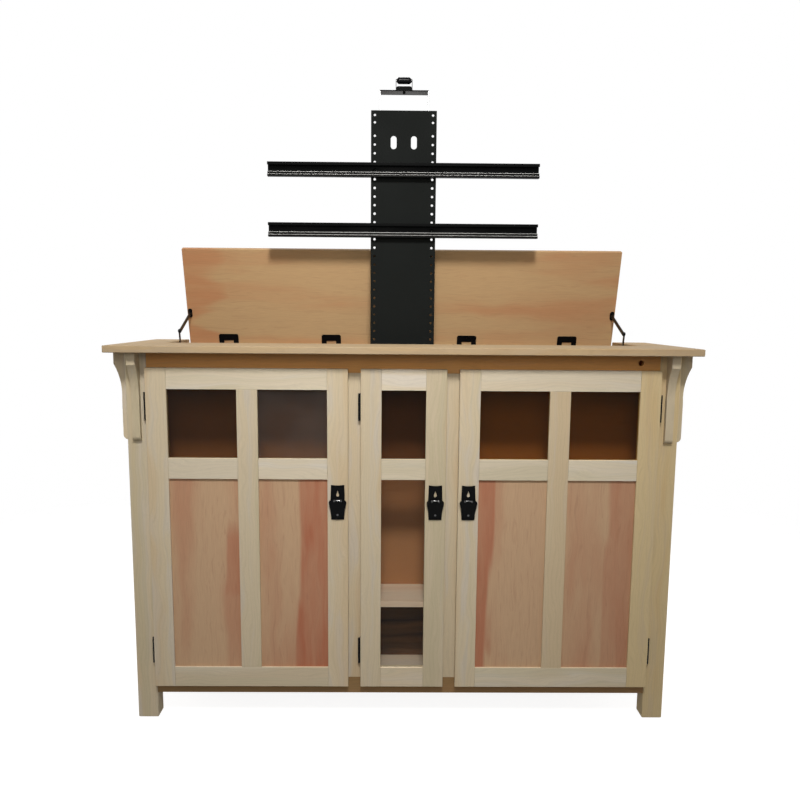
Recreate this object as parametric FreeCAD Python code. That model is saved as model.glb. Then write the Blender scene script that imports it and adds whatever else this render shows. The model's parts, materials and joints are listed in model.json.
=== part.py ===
import FreeCAD, Part
import math
import os

from FreeCAD import Vector

# Mission style cabinet with a TV lift, millimetres. X is to the right, the doors face -Y, Z is up.
# The origin is on the floor, under the middle of the whole object's box.
# The lift is raised, the flip-top lid is open and leans forward on the mast, the doors are closed.

# ---------------------------------------------------------------- driving dimensions
# Top
top_width = 1600.0
top_depth = 566.0
top_thickness = 19.0
top_surface_z = 1076.0
front_overhang = 76.0
side_overhang = 37.0
end_board_width = 108.0
front_board_depth = 252.0
board_arris = 1.5
small_round_sides = 8

# Legs and corbels
leg_size = 58.0
leg_arris = 2.0
corbel_thickness = 22.0
corbel_height = 244.0
corbel_nose = 34.0
corbel_sweep = 98.0
corbel_waist = 16.0
front_corbel_reach = 48.0
side_corbel_reach = 36.0
corbel_toe = 13.0
corbel_toe_reach = 3.0
corbel_hollow_out = 0.28
corbel_hollow_down = 0.36
quarter_round = math.sqrt(0.5)

# Face frame
frame_thickness = 19.0
door_bottom_z = 104.0
apron_height = 54.0
door_overlay = 12.0
door_foot_overlay = 20.0
base_rail_height = 48.0
face_stile_width = 70.0
door_reveal = 35.0
jamb_width = 22.0
sensor_hole_r = 7.5
sensor_hole_from_leg = 53.5
sensor_hole_below_top = 22.0

# Sides, back and inside boards
side_inset = 10.0
side_rail_height = 58.0
side_mullion_width = 57.0
back_rail_thickness = 19.0
back_rail_height = 58.0
back_panel_inset = 8.0
cable_hole_r = 30.0
cable_hole_from_leg = 285.0
cable_hole_z = 220.0
sheet_thickness = 6.0
groove_depth = 8.0
bottom_board_thickness = 19.0
divider_thickness = 19.0
shelf_thickness = 17.0
shelf_top_z = 351.0
shelf_clearance = 1.0
shelf_front_setback = 2.0
cleat_thickness = 12.0
cleat_height = 20.0
lid_rail_thickness = 19.0
lid_rail_height = 100.0
lid_ledge_depth = 12.0

# Doors
door_thickness = 19.0
centre_door_width = 236.0
door_stile_width = 57.0
door_rail_width = 58.0
window_height = 190.0
glass_thickness = 3.0
pane_depth = 8.0
pane_groove = 8.0

# Door butt hinges
hinge_height = 76.0
hinge_end_distance = 67.0
hinge_leaf_width = 14.0
hinge_leaf_thickness = 1.5
hinge_barrel_r = 3.5
hinge_pin_r = 2.0
hinge_leaf_gap = 0.2
hinge_knuckles = 3
hinge_knuckle_gap = 0.4
hinge_edge_offset = 4.2
hinge_pin_depth = 12.1
pin_clearance = 0.05

# Drop pulls and magnetic catches
pull_top_z = 694.5
pull_plate_height = 98.0
pull_plate_top_width = 37.0
pull_plate_waist_width = 41.0
pull_plate_waist_drop = 62.0
pull_plate_bottom_width = 36.0
pull_plate_thickness = 2.5
pull_plate_dip = 1.6
pull_hole_r = 4.3
pull_hole_drop = 29.0
pull_hole_point = 13.5
pull_hole_shoulder = 3.9
drop_length = 46.5
drop_shoulder_width = 49.0
drop_foot_width = 31.0
drop_shoulder_drop = 9.0
drop_thickness = 4.0
drop_rise = 3.4
drop_pivot_drop = 44.0
drop_pivot_out = 8.5
drop_ear_r = 3.8
drop_ear_width = 5.0
drop_ear_spread = 19.0
drop_sleeve_r = 3.6
drop_pin_r = 1.8
drop_gap = 0.4
drop_boss_r = 3.2
drop_boss_height = 2.0
drop_boss_rise = 4.5
drop_foot_bow = 4.0
catch_width = 40.0
catch_height = 13.0
catch_depth = 16.0
catch_setback = 1.2
strike_thickness = 1.5
strike_gap = 0.7
strike_drop = 1.0
strike_stem_width = 12.0
catch_edge_distance = 60.0

# Flip-top lid and its surface hinges
lid_thickness = 19.0
lid_gap = 2.0
lid_arris = 1.0
lid_hinges_from_left = (127.0, 461.0)
lid_hinges_from_right = (477.0, 148.0)
lid_leaf_width = 63.0
lid_leaf_length = 40.0
lid_leaf_thickness = 2.0
lid_leaf_corner = 4.0
rail_leaf_width = 30.0
rail_leaf_length = 19.0
leaf_side_gap = 0.4
lid_barrel_r = 4.0
lid_pin_r = 2.2
lid_barrel_gap = 0.3

# Folding lid stays
stay_plane_inset = 11.0
stay_arm_width = 13.0
stay_arm_thickness = 2.5
stay_arm_gap = 0.3
stay_pin_r = 3.0
stay_head_r = 5.0
stay_head_thickness = 1.6
stay_lid_distance = 110.0
stay_standoff = 9.0
stay_plate_width = 14.0
stay_plate_length = 30.0
stay_plate_thickness = 2.0
elbow_from_back = 182.0
elbow_above_top = 31.0
elbow_clearance = 0.5
stay_bracket_from_back = 152.0
stay_bracket_below_top = 76.0
stay_boss_r = 7.0
stay_flange_r = 12.0

# Lift mast
mast_from_back = 152.0
mast_width = 197.0
mast_depth = 65.0
mast_wall = 3.0
mast_foot_below_top = 134.0
mast_length = 821.0
mast_hole_r = 3.75
mast_hole_edge = 11.5
mast_hole_pitch = 25.2
mast_hole_rows_up = 4
mast_hole_rows_down = 21
mast_bracket_rows = (-5, -2)
mast_top_row_drops = (13.3, 34.3)
mast_slot_x = 30.4
mast_slot_drop = 92.0
mast_slot_width = 18.5
mast_slot_height = 38.5
lid_rest_gap = 0.3

# Crossbars that carry the screen
bar_length = 817.0
bar_height = 42.0
bar_depth = 20.0
bar_wall = 2.5
bar_upper_lip = 9.0
bar_lower_lip = 7.0
bar_hem_setback = 6.0
bar_hem_height = 15.0
bar_hem_notch = 9.0
upper_bar_drop = 173.6
crossbar_rows_apart = 7
bolt_r = 3.7
bolt_head_r = 6.0
bolt_head_height = 4.0
nut_across_flats = 13.0
nut_height = 6.5
nut_sides = 6

# Lid pusher and its roller
pusher_width = 148.0
pusher_rise = 59.0
pusher_depth = 50.0
pusher_plate = 3.5
pusher_leg_depth = 13.0
pusher_leg_lap = 26.0
pusher_bolt_r = 4.0
pusher_bolt_height = 7.0
pusher_bolt_from_front = 8.0
fork_width = 50.0
fork_depth = 32.0
fork_base_height = 13.0
fork_crown_r = 8.0
fork_wall = 1.7
roller_axis_rise = 32.0
roller_r = 10.0
roller_taper = 6.0
roller_length = 46.0
roller_sides = 16
roller_axle_r = 2.5
roller_side_gap = 0.3
roller_lid_gap = 2.0

# Fixed guide frame, lead screw, drive and controls
rail_width = 25.0
rail_depth = 40.0
rail_wall = 3.0
rail_inner_x = 55.0
rail_behind_web = 14.0
rail_head_room = 5.5
base_plate_width = 230.0
base_plate_thickness = 6.0
base_plate_lap = 24.0
crosshead_thickness = 4.0
crosshead_pad_gap = 1.0
pad_height = 56.0
pad_above_mast_foot = 4.0
pad_lip = 14.0
pad_lip_depth = 5.0
pad_clearance = 0.3
screw_r = 7.0
gearbox_width = 90.0
gearbox_height = 42.0
motor_r = 17.0
motor_length = 45.0
motor_x = 27.0
control_box_width = 130.0
control_box_depth = 62.0
control_box_height = 34.0
control_box_gap = 85.0
control_box_arris = 3.0
control_box_back_gap = 12.0

# ---------------------------------------------------------------- derived places
top_under_z = top_surface_z - top_thickness
lid_length = top_depth - front_board_depth - lid_gap
opening_width = top_width - 2 * end_board_width
lid_half_width = opening_width / 2 - lid_gap
hinge_back = lid_barrel_r + lid_barrel_gap
leaf_half = lid_leaf_thickness / 2
# The lid leans until its front edge, at the underside, meets the back of the mast.
lean_reach = hinge_back + lid_length
lean_room = hinge_back + mast_from_back - mast_depth - lid_rest_gap
lean_slant = math.acos(lean_room / math.hypot(lean_reach, leaf_half))
lid_open_angle = lean_slant - math.atan2(leaf_half, lean_reach)
lid_back_rise = (leaf_half + lid_thickness) * math.sin(lid_open_angle)
lid_rear_reach = lid_back_rise - hinge_back * math.cos(lid_open_angle)
overall_depth = top_depth + hinge_back + lid_rear_reach

front_y = -overall_depth / 2
back_y = front_y + top_depth
opening_front_y = front_y + front_board_depth
body_half = top_width / 2 - side_overhang
leg_inner_x = body_half - leg_size
leg_front_y = front_y + front_overhang
leg_rear_y = back_y - leg_size
frame_back_y = leg_front_y + frame_thickness

frame_low_z = door_bottom_z + door_foot_overlay
frame_high_z = top_under_z - apron_height
door_top_z = frame_high_z + door_overlay
base_rail_low_z = frame_low_z - base_rail_height
centre_half = centre_door_width / 2
face_stile_x = centre_half + door_reveal / 2
wide_door_inner_x = centre_half + door_reveal
sensor_hole_x = leg_inner_x - sensor_hole_from_leg
sensor_hole_z = top_under_z - sensor_hole_below_top
cable_hole_x = leg_inner_x - cable_hole_from_leg
door_back_y = leg_front_y - 2 * hinge_leaf_thickness - hinge_leaf_gap
door_front_y = door_back_y - door_thickness
window_top_z = door_top_z - door_rail_width
window_low_z = window_top_z - window_height
panel_top_z = window_low_z - door_rail_width
panel_low_z = door_bottom_z + door_rail_width

lid_axis_y = back_y + hinge_back
lid_axis_z = top_under_z - leaf_half
lid_hinge_xs = [distance - lid_half_width for distance in lid_hinges_from_left]
lid_hinge_xs += [lid_half_width - distance for distance in lid_hinges_from_right]
stay_plane_x = opening_width / 2 - stay_plane_inset
back_rail_top_z = top_under_z - lid_leaf_thickness
side_outer_x = body_half - side_inset
side_inner_x = side_outer_x - frame_thickness
side_panel_x = side_outer_x - frame_thickness / 2 - sheet_thickness / 2
back_panel_y = back_y - back_panel_inset - sheet_thickness
partition_y = opening_front_y - sheet_thickness
bay_floor_z = frame_low_z

mast_y = back_y - mast_from_back
mast_back_y = mast_y + mast_depth
mast_foot_z = top_surface_z - mast_foot_below_top
mast_top_z = mast_foot_z + mast_length
mast_half = mast_width / 2
upper_bar_z = mast_top_z - upper_bar_drop
crossbar_zs = (upper_bar_z, upper_bar_z - crossbar_rows_apart * mast_hole_pitch)
mast_hole_x = mast_half - mast_hole_edge
web_back_y = mast_y + mast_wall
bar_front_y = mast_y - bar_depth
rail_y = web_back_y + rail_behind_web
rail_foot_z = bay_floor_z + base_plate_thickness
rail_outer_x = rail_inner_x + rail_width
screw_y = rail_y + rail_depth / 2
pusher_top_z = mast_top_z + pusher_rise
roller_axis_z = pusher_top_z + roller_axis_rise
roller_axis_y = web_back_y + pusher_depth / 2
# The lift comes down until its roller is under the closed lid. The guide rails end below the pusher then.
lift_travel = roller_axis_z + roller_r - top_under_z + roller_lid_gap
rail_top_z = pusher_top_z - pusher_plate - lift_travel - rail_head_room
roller_end_r = roller_r - roller_taper


# ---------------------------------------------------------------- shared helpers
touch = 0.01


def box(x_span, y_span, z_span):
    low = Vector(min(x_span), min(y_span), min(z_span))
    high = Vector(max(x_span), max(y_span), max(z_span))
    size = high - low
    return Part.makeBox(size.x, size.y, size.z, low)


def cylinder_x(x_span, y, z, radius):
    length = max(x_span) - min(x_span)
    return Part.makeCylinder(radius, length, Vector(min(x_span), y, z), Vector(1, 0, 0))


def cylinder_y(x, y_span, z, radius):
    length = max(y_span) - min(y_span)
    return Part.makeCylinder(radius, length, Vector(x, min(y_span), z), Vector(0, 1, 0))


def cylinder_z(x, y, z_span, radius):
    length = max(z_span) - min(z_span)
    return Part.makeCylinder(radius, length, Vector(x, y, min(z_span)))


def faceted(start, run, radius, sides=small_round_sides):
    """A small round form along one axis, drawn with flat sides to keep what repeats light."""
    across = Vector(run.z, run.x, run.y).normalize() * radius
    upward = Vector(run.y, run.z, run.x).normalize() * radius
    corners = []
    for index in range(sides):
        angle = 2 * math.pi * (index + 0.5) / sides
        corners.append(start + across * math.cos(angle) + upward * math.sin(angle))
    return polygon_prism(corners, run)


def faceted_x(x_span, y, z, radius):
    return faceted(Vector(min(x_span), y, z), Vector(max(x_span) - min(x_span), 0, 0), radius)


def faceted_y(x, y_span, z, radius):
    return faceted(Vector(x, min(y_span), z), Vector(0, max(y_span) - min(y_span), 0), radius)


def faceted_z(x, y, z_span, radius):
    return faceted(Vector(x, y, min(z_span)), Vector(0, 0, max(z_span) - min(z_span)), radius)


def round_clearance(radius):
    """Corner radius of a flat-sided hole that stays clear of a round pin of the given radius."""
    return radius / math.cos(math.pi / small_round_sides)


def extruded(edges, direction):
    return Part.Face(Part.Wire(Part.__sortEdges__(edges))).extrude(direction)


def polygon_prism(points, direction):
    return Part.Face(Part.makePolygon(points + points[:1])).extrude(direction)


def line(start, end):
    return Part.LineSegment(start, end).toShape()


def arc(start, middle, end):
    return Part.Arc(start, middle, end).toShape()


def eased(board, arris):
    return board.makeChamfer(arris, board.Edges)


def mirrored(shape):
    return shape.mirror(Vector(0, 0, 0), Vector(1, 0, 0))


def both_sides(shape):
    return [shape, mirrored(shape)]


def cut_by(shape, tools):
    for tool in tools:
        shape = shape.cut(tool)
    return shape


def opened(shape):
    """A shape drawn on the closed lid, turned up about the lid's hinge line."""
    turned = shape.copy()
    turned.rotate(Vector(0, lid_axis_y, lid_axis_z), Vector(-1, 0, 0), math.degrees(lid_open_angle))
    return turned


# ---------------------------------------------------------------- grooved sheets
def side_panel_boxes():
    """The two plywood sheets of the right-hand side, with the edges that sit in grooves."""
    y_low = leg_front_y + leg_size
    y_high = leg_rear_y
    middle = (y_low + y_high) / 2
    z_low = base_rail_low_z + side_rail_height - groove_depth
    z_span = (z_low, top_under_z - side_rail_height + groove_depth)
    x_span = (side_panel_x, side_panel_x + sheet_thickness)
    half = side_mullion_width / 2
    front = box(x_span, (y_low - groove_depth, middle - half + groove_depth), z_span)
    rear = box(x_span, (middle + half - groove_depth, y_high + groove_depth), z_span)
    return [front, rear]


def back_panel_box():
    z_span = (frame_low_z - groove_depth, back_rail_top_z - back_rail_height + groove_depth)
    half = leg_inner_x + groove_depth
    return box((-half, half), (back_panel_y, back_panel_y + sheet_thickness), z_span)


def back_panel():
    hole = cylinder_y(cable_hole_x, (back_panel_y, back_y), cable_hole_z, cable_hole_r)
    return [back_panel_box().cut(hole)]


# ---------------------------------------------------------------- legs and corbels
def leg(y_low):
    z_span = (0, top_under_z)
    post = eased(box((leg_inner_x, body_half), (y_low, y_low + leg_size), z_span), leg_arris)
    return cut_by(post, side_panel_boxes() + [back_panel_box()])


def corbel(reach):
    """A corbel's outline against a face at x = 0, with its top at the underside of the top board."""
    def at(out, drop):
        return Vector(out, 0, top_under_z - drop)

    toe_top = corbel_height - corbel_toe
    sweep_end = corbel_nose + corbel_sweep
    hollow_out = corbel_waist + corbel_hollow_out * (reach - corbel_waist)
    hollow = at(hollow_out, corbel_nose + corbel_hollow_down * corbel_sweep)
    toe_out = corbel_toe_reach + quarter_round * (corbel_waist - corbel_toe_reach)
    toe_round = at(toe_out, toe_top + quarter_round * corbel_toe)
    edges = [
        line(at(0, 0), at(reach, 0)),
        line(at(reach, 0), at(reach, corbel_nose)),
        arc(at(reach, corbel_nose), hollow, at(corbel_waist, sweep_end)),
        line(at(corbel_waist, sweep_end), at(corbel_waist, toe_top)),
        arc(at(corbel_waist, toe_top), toe_round, at(corbel_toe_reach, corbel_height)),
        line(at(corbel_toe_reach, corbel_height), at(0, corbel_height)),
        line(at(0, corbel_height), at(0, 0)),
    ]
    return extruded(edges, Vector(0, corbel_thickness, 0))


def front_corbels():
    bracket = corbel(front_corbel_reach)
    bracket.rotate(Vector(0, 0, 0), Vector(0, 0, 1), -90)
    bracket.translate(Vector(body_half - leg_size / 2 - corbel_thickness / 2, leg_front_y, 0))
    return both_sides(bracket)


def side_corbels():
    brackets = []
    for leg_y in (leg_front_y, leg_rear_y):
        bracket = corbel(side_corbel_reach)
        bracket.translate(Vector(body_half, leg_y + leg_size / 2 - corbel_thickness / 2, 0))
        brackets += both_sides(bracket)
    return brackets


# ---------------------------------------------------------------- top boards
def top_boards():
    z_span = (top_under_z, top_surface_z)
    half = top_width / 2
    front = eased(box((-half, half), (front_y, opening_front_y), z_span), board_arris)
    end = eased(box((opening_width / 2, half), (opening_front_y, back_y), z_span), board_arris)
    return [front] + both_sides(end)


# ---------------------------------------------------------------- face frame
def face_top_rail():
    rail = box((-leg_inner_x, leg_inner_x), (leg_front_y, frame_back_y), (frame_high_z, top_under_z))
    hole = cylinder_y(sensor_hole_x, (leg_front_y, frame_back_y), sensor_hole_z, sensor_hole_r)
    return [rail.cut(hole)]


def face_bottom_rail():
    x_span = (-leg_inner_x, leg_inner_x)
    return [box(x_span, (leg_front_y, frame_back_y), (base_rail_low_z, frame_low_z))]


def face_stile_box():
    half = face_stile_width / 2
    x_span = (face_stile_x - half, face_stile_x + half)
    return box(x_span, (leg_front_y, frame_back_y), (frame_low_z, frame_high_z))


def face_stiles():
    jamb_span = (leg_inner_x - jamb_width, leg_inner_x)
    jamb = box(jamb_span, (leg_front_y, frame_back_y), (frame_low_z, frame_high_z))
    return both_sides(face_stile_box()) + both_sides(jamb)


# ---------------------------------------------------------------- sides and back
def side_frames():
    y_span = (leg_front_y + leg_size, leg_rear_y)
    x_span = (side_inner_x, side_outer_x)
    low_rail_top = base_rail_low_z + side_rail_height
    high_rail_low = top_under_z - side_rail_height
    middle = sum(y_span) / 2
    mullion_span = (middle - side_mullion_width / 2, middle + side_mullion_width / 2)
    members = [
        box(x_span, y_span, (base_rail_low_z, low_rail_top)),
        box(x_span, y_span, (high_rail_low, top_under_z)),
        box(x_span, mullion_span, (low_rail_top, high_rail_low)),
    ]
    solids = []
    for member in members:
        solids += both_sides(cut_by(member, side_panel_boxes()))
    return solids


def side_panels():
    solids = []
    for panel in side_panel_boxes():
        solids += both_sides(panel)
    return solids


def back_rails():
    y_span = (back_y - back_rail_thickness, back_y)
    x_span = (-leg_inner_x, leg_inner_x)
    upper = box(x_span, y_span, (back_rail_top_z - back_rail_height, back_rail_top_z))
    lower = box(x_span, y_span, (base_rail_low_z, frame_low_z))
    return [upper.cut(back_panel_box()), lower.cut(back_panel_box())]


# ---------------------------------------------------------------- inside boards
def leg_boxes():
    boxes = []
    for y_low in (leg_front_y, leg_rear_y):
        boxes += both_sides(box((leg_inner_x, body_half), (y_low, y_low + leg_size), (0, top_under_z)))
    return boxes


def bottom_board():
    y_span = (frame_back_y, back_y - back_rail_thickness)
    z_span = (frame_low_z - bottom_board_thickness, frame_low_z)
    return [cut_by(box((-side_inner_x, side_inner_x), y_span, z_span), leg_boxes())]


def partition_panel():
    x_span = (-side_inner_x, side_inner_x)
    return [box(x_span, (partition_y, opening_front_y), (bay_floor_z, top_under_z))]


def bay_dividers():
    half = divider_thickness / 2
    x_span = (face_stile_x - half, face_stile_x + half)
    return both_sides(box(x_span, (frame_back_y, partition_y), (bay_floor_z, top_under_z)))


def shelves():
    z_span = (shelf_top_z - shelf_thickness, shelf_top_z)
    y_span = (leg_front_y + shelf_front_setback, partition_y - shelf_clearance)
    gap = shelf_clearance
    divider_in = face_stile_x - divider_thickness / 2 - gap
    divider_out = face_stile_x + divider_thickness / 2 + gap
    half_stile = face_stile_width / 2 + gap
    y_notch = (leg_front_y - gap, frame_back_y + gap)
    stile_notch = box((face_stile_x - half_stile, face_stile_x + half_stile), y_notch, z_span)
    y_leg = (leg_front_y, leg_front_y + leg_size + gap)
    outer_notch = box((leg_inner_x - jamb_width - gap, body_half), y_leg, z_span)
    centre = cut_by(box((-divider_in, divider_in), y_span, z_span), both_sides(stile_notch))
    wide = cut_by(box((divider_out, side_inner_x - gap), y_span, z_span), [stile_notch, outer_notch])
    return [centre] + both_sides(wide)


def shelf_cleats():
    z_span = (shelf_top_z - shelf_thickness - cleat_height, shelf_top_z - shelf_thickness)
    y_span = (frame_back_y, partition_y)
    divider_in = face_stile_x - divider_thickness / 2
    divider_out = face_stile_x + divider_thickness / 2
    inner = box((divider_in - cleat_thickness, divider_in), y_span, z_span)
    outer = box((divider_out, divider_out + cleat_thickness), y_span, z_span)
    back_span = (partition_y - cleat_thickness, partition_y)
    back = box((divider_out + cleat_thickness, side_inner_x), back_span, z_span)
    y_leg = (frame_back_y, leg_front_y + leg_size)
    leg_cleat = box((leg_inner_x - cleat_thickness, leg_inner_x), y_leg, z_span)
    solids = []
    for cleat in (inner, outer, back, leg_cleat):
        solids += both_sides(cleat)
    return solids


def lid_support_rails():
    """Two rails under the end boards, along the opening, and the ledge that the closed lid meets."""
    x_span = (opening_width / 2, opening_width / 2 + lid_rail_thickness)
    y_span = (opening_front_y, leg_rear_y)
    side = box(x_span, y_span, (top_under_z - lid_rail_height, top_under_z))
    ledge_y = (opening_front_y, opening_front_y + lid_ledge_depth)
    half = opening_width / 2
    ledge = box((-half, half), ledge_y, (top_under_z - cleat_height, top_under_z))
    return both_sides(side) + [ledge]


# ---------------------------------------------------------------- doors
def door_pane_boxes(x_low, x_high, columns):
    """Glass and panel boxes of one door, with the margins that sit in the frame's grooves."""
    clear = (x_high - x_low - (columns + 1) * door_stile_width) / columns
    y_glass = (door_front_y + pane_depth, door_front_y + pane_depth + glass_thickness)
    y_panel = (door_front_y + pane_depth, door_front_y + pane_depth + sheet_thickness)
    glass_z = (window_low_z - pane_groove, window_top_z + pane_groove)
    panel_z = (panel_low_z - pane_groove, panel_top_z + pane_groove)
    glass = []
    panels = []
    for column in range(columns):
        left = x_low + door_stile_width + column * (clear + door_stile_width)
        x_span = (left - pane_groove, left + clear + pane_groove)
        glass.append(box(x_span, y_glass, glass_z))
        panels.append(box(x_span, y_panel if columns > 1 else y_glass, panel_z))
    return glass, panels


def door_stiles(x_low, x_high, columns):
    glass, panels = door_pane_boxes(x_low, x_high, columns)
    y_span = (door_front_y, door_back_y)
    clear = (x_high - x_low - (columns + 1) * door_stile_width) / columns
    solids = []
    for index in range(columns + 1):
        left = x_low + index * (clear + door_stile_width)
        outer = index in (0, columns)
        z_span = (door_bottom_z, door_top_z) if outer else (panel_low_z, window_top_z)
        stile = box((left, left + door_stile_width), y_span, z_span)
        solids.append(cut_by(stile, glass + panels))
    return solids


def door_rails(x_low, x_high, columns):
    glass, panels = door_pane_boxes(x_low, x_high, columns)
    y_span = (door_front_y, door_back_y)
    clear = (x_high - x_low - (columns + 1) * door_stile_width) / columns
    whole = (x_low + door_stile_width, x_high - door_stile_width)
    rails = [
        box(whole, y_span, (window_top_z, door_top_z)),
        box(whole, y_span, (door_bottom_z, panel_low_z)),
    ]
    for column in range(columns):
        left = x_low + door_stile_width + column * (clear + door_stile_width)
        rails.append(box((left, left + clear), y_span, (panel_top_z, window_low_z)))
    return [cut_by(rail, glass + panels) for rail in rails]


def hinge_knuckle_spans(z_low):
    """Z spans of a butt hinge's knuckles, from the bottom up."""
    step = hinge_height / hinge_knuckles
    half_gap = hinge_knuckle_gap / 2
    starts = [z_low + index * step for index in range(hinge_knuckles)]
    return [(start + half_gap, start + step - half_gap) for start in starts]


def hinge_axis(edge_x, inward):
    """X and Y of a door hinge's pin, beside the door's edge. So far forward the door clears the corbel."""
    return edge_x - inward * hinge_edge_offset, door_front_y + hinge_pin_depth


def hinge_leaf(edge_x, inward, z_low, y_span, own_knuckles):
    """One leaf, cranked forward to its own knuckles. inward is +1 where the door is on the +X side."""
    axis_x, axis_y = hinge_axis(edge_x, inward)
    barrel_flat = hinge_barrel_r * math.cos(math.pi / small_round_sides)
    crank_x = (axis_x + inward * (barrel_flat - hinge_leaf_thickness), axis_x + inward * barrel_flat)
    plate_x = axis_x + inward * (hinge_barrel_r + hinge_knuckle_gap)
    leaf = box((plate_x, edge_x + inward * hinge_leaf_width), y_span, (z_low, z_low + hinge_height))
    spans = hinge_knuckle_spans(z_low)
    for index in own_knuckles:
        crank = box(crank_x, (axis_y + hinge_pin_r, y_span[1]), spans[index])
        tongue = box((crank_x[1], plate_x), y_span, spans[index])
        barrel = faceted_z(axis_x, axis_y, spans[index], hinge_barrel_r)
        leaf = leaf.fuse(tongue).fuse(crank).fuse(barrel)
    return leaf


def hinge_heights():
    low = door_bottom_z + hinge_end_distance
    return (low, door_top_z - hinge_end_distance - hinge_height)


def door_hinge_leaves(edge_x, inward):
    """The leaves on the door's back, each with the middle knuckle, bored for the pin."""
    y_span = (door_back_y, door_back_y + hinge_leaf_thickness)
    axis_x, axis_y = hinge_axis(edge_x, inward)
    bore_r = round_clearance(hinge_pin_r + pin_clearance)
    solids = []
    for z in hinge_heights():
        bore = faceted_z(axis_x, axis_y, (z, z + hinge_height), bore_r)
        solids.append(hinge_leaf(edge_x, inward, z, y_span, (1,)).cut(bore).removeSplitter())
    return solids


def frame_hinge_leaves(edge_x, inward):
    """The leaves on the frame's face, each with the two outer knuckles and the pin."""
    y_span = (leg_front_y - hinge_leaf_thickness, leg_front_y)
    axis_x, axis_y = hinge_axis(edge_x, inward)
    solids = []
    for z in hinge_heights():
        pin_low, pin_high = hinge_knuckle_spans(z)[1]
        pin_span = (pin_low - hinge_knuckle_gap, pin_high + hinge_knuckle_gap)
        pin = cylinder_z(axis_x, axis_y, pin_span, hinge_pin_r)
        solids.append(hinge_leaf(edge_x, inward, z, y_span, (0, 2)).fuse(pin).removeSplitter())
    return solids


DOORS = {
    "left": {"span": (-leg_inner_x, -wide_door_inner_x), "columns": 2, "hinge_left": True},
    "centre": {"span": (-centre_half, centre_half), "columns": 1, "hinge_left": True},
    "right": {"span": (wide_door_inner_x, leg_inner_x), "columns": 2, "hinge_left": False},
}


def hinge_side(door):
    """The X of a door's hinged edge and the direction from it into the door."""
    low, high = door["span"]
    return (low, 1) if door["hinge_left"] else (high, -1)


def free_side(door):
    """The X of a door's free edge and the direction from it into the door."""
    low, high = door["span"]
    return (high, -1) if door["hinge_left"] else (low, 1)


def door_hinge_frame_leaves():
    solids = []
    for door in DOORS.values():
        solids += frame_hinge_leaves(*hinge_side(door))
    return solids


# ---------------------------------------------------------------- catches and pulls
def catch_x(door):
    edge, inward = free_side(door)
    return edge + inward * catch_edge_distance


def door_catches():
    """Magnetic catches under the face frame's top rail."""
    y_low = leg_front_y + catch_setback
    solids = []
    for door in DOORS.values():
        x = catch_x(door)
        x_span = (x - catch_width / 2, x + catch_width / 2)
        z_span = (frame_high_z - catch_height, frame_high_z)
        solids.append(box(x_span, (y_low, y_low + catch_depth), z_span))
    return solids


def strike_plate(door):
    x = catch_x(door)
    y_high = leg_front_y + catch_setback - strike_gap
    z_span = (frame_high_z - catch_height, frame_high_z - strike_drop)
    plate = box((x - catch_width / 2, x + catch_width / 2), (y_high - strike_thickness, y_high), z_span)
    half_stem = strike_stem_width / 2
    stem = box((x - half_stem, x + half_stem), (door_back_y, y_high - strike_thickness), z_span)
    return plate.fuse(stem).removeSplitter()


def pull_centre_x(door):
    edge, inward = free_side(door)
    return edge + inward * door_stile_width / 2


def pull_pivot():
    return door_front_y - drop_pivot_out, pull_top_z - drop_pivot_drop


def pull_plate(x):
    """A flared backplate with a pear-shaped hole, its top edge dipped, and two ears for the drop."""
    y = door_front_y
    low_z = pull_top_z - pull_plate_height
    half_top = pull_plate_top_width / 2
    half_waist = pull_plate_waist_width / 2
    half_low = pull_plate_bottom_width / 2
    dip = Vector(x, y, pull_top_z - pull_plate_dip)
    edges = [
        arc(Vector(x - half_top, y, pull_top_z), dip, Vector(x + half_top, y, pull_top_z)),
        line(Vector(x + half_low, y, low_z), Vector(x - half_low, y, low_z)),
    ]
    for side in (-1, 1):
        waist = Vector(x + side * half_waist, y, pull_top_z - pull_plate_waist_drop)
        edges.append(line(Vector(x + side * half_top, y, pull_top_z), waist))
        edges.append(line(waist, Vector(x + side * half_low, y, low_z)))
    outward = Vector(0, -pull_plate_thickness, 0)
    plate = extruded(edges, outward)
    hole_z = pull_top_z - pull_hole_drop
    hole = faceted_y(x, (y - pull_plate_thickness, y), hole_z, pull_hole_r)
    peak_z = hole_z + math.sqrt(pull_hole_r ** 2 - pull_hole_shoulder ** 2)
    peak = [Vector(x - pull_hole_shoulder, y, peak_z), Vector(x + pull_hole_shoulder, y, peak_z)]
    peak.append(Vector(x, y, hole_z + pull_hole_point))
    plate = cut_by(plate, [hole, polygon_prism(peak, outward)])
    pivot_y, pivot_z = pull_pivot()
    for side in (-1, 1):
        ear_x = x + side * drop_ear_spread / 2
        x_span = (ear_x - drop_ear_width / 2, ear_x + drop_ear_width / 2)
        ear = faceted_x(x_span, pivot_y, pivot_z, drop_ear_r)
        foot_z = (pivot_z - drop_ear_r, pivot_z + drop_ear_r)
        foot = box(x_span, (pivot_y, y - pull_plate_thickness / 2), foot_z)
        plate = plate.fuse(ear).fuse(foot)
    pin_half = (drop_ear_spread - drop_ear_width) / 2
    pin = cylinder_x((x - pin_half, x + pin_half), pivot_y, pivot_z, drop_pin_r)
    return plate.fuse(pin).removeSplitter()


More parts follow.
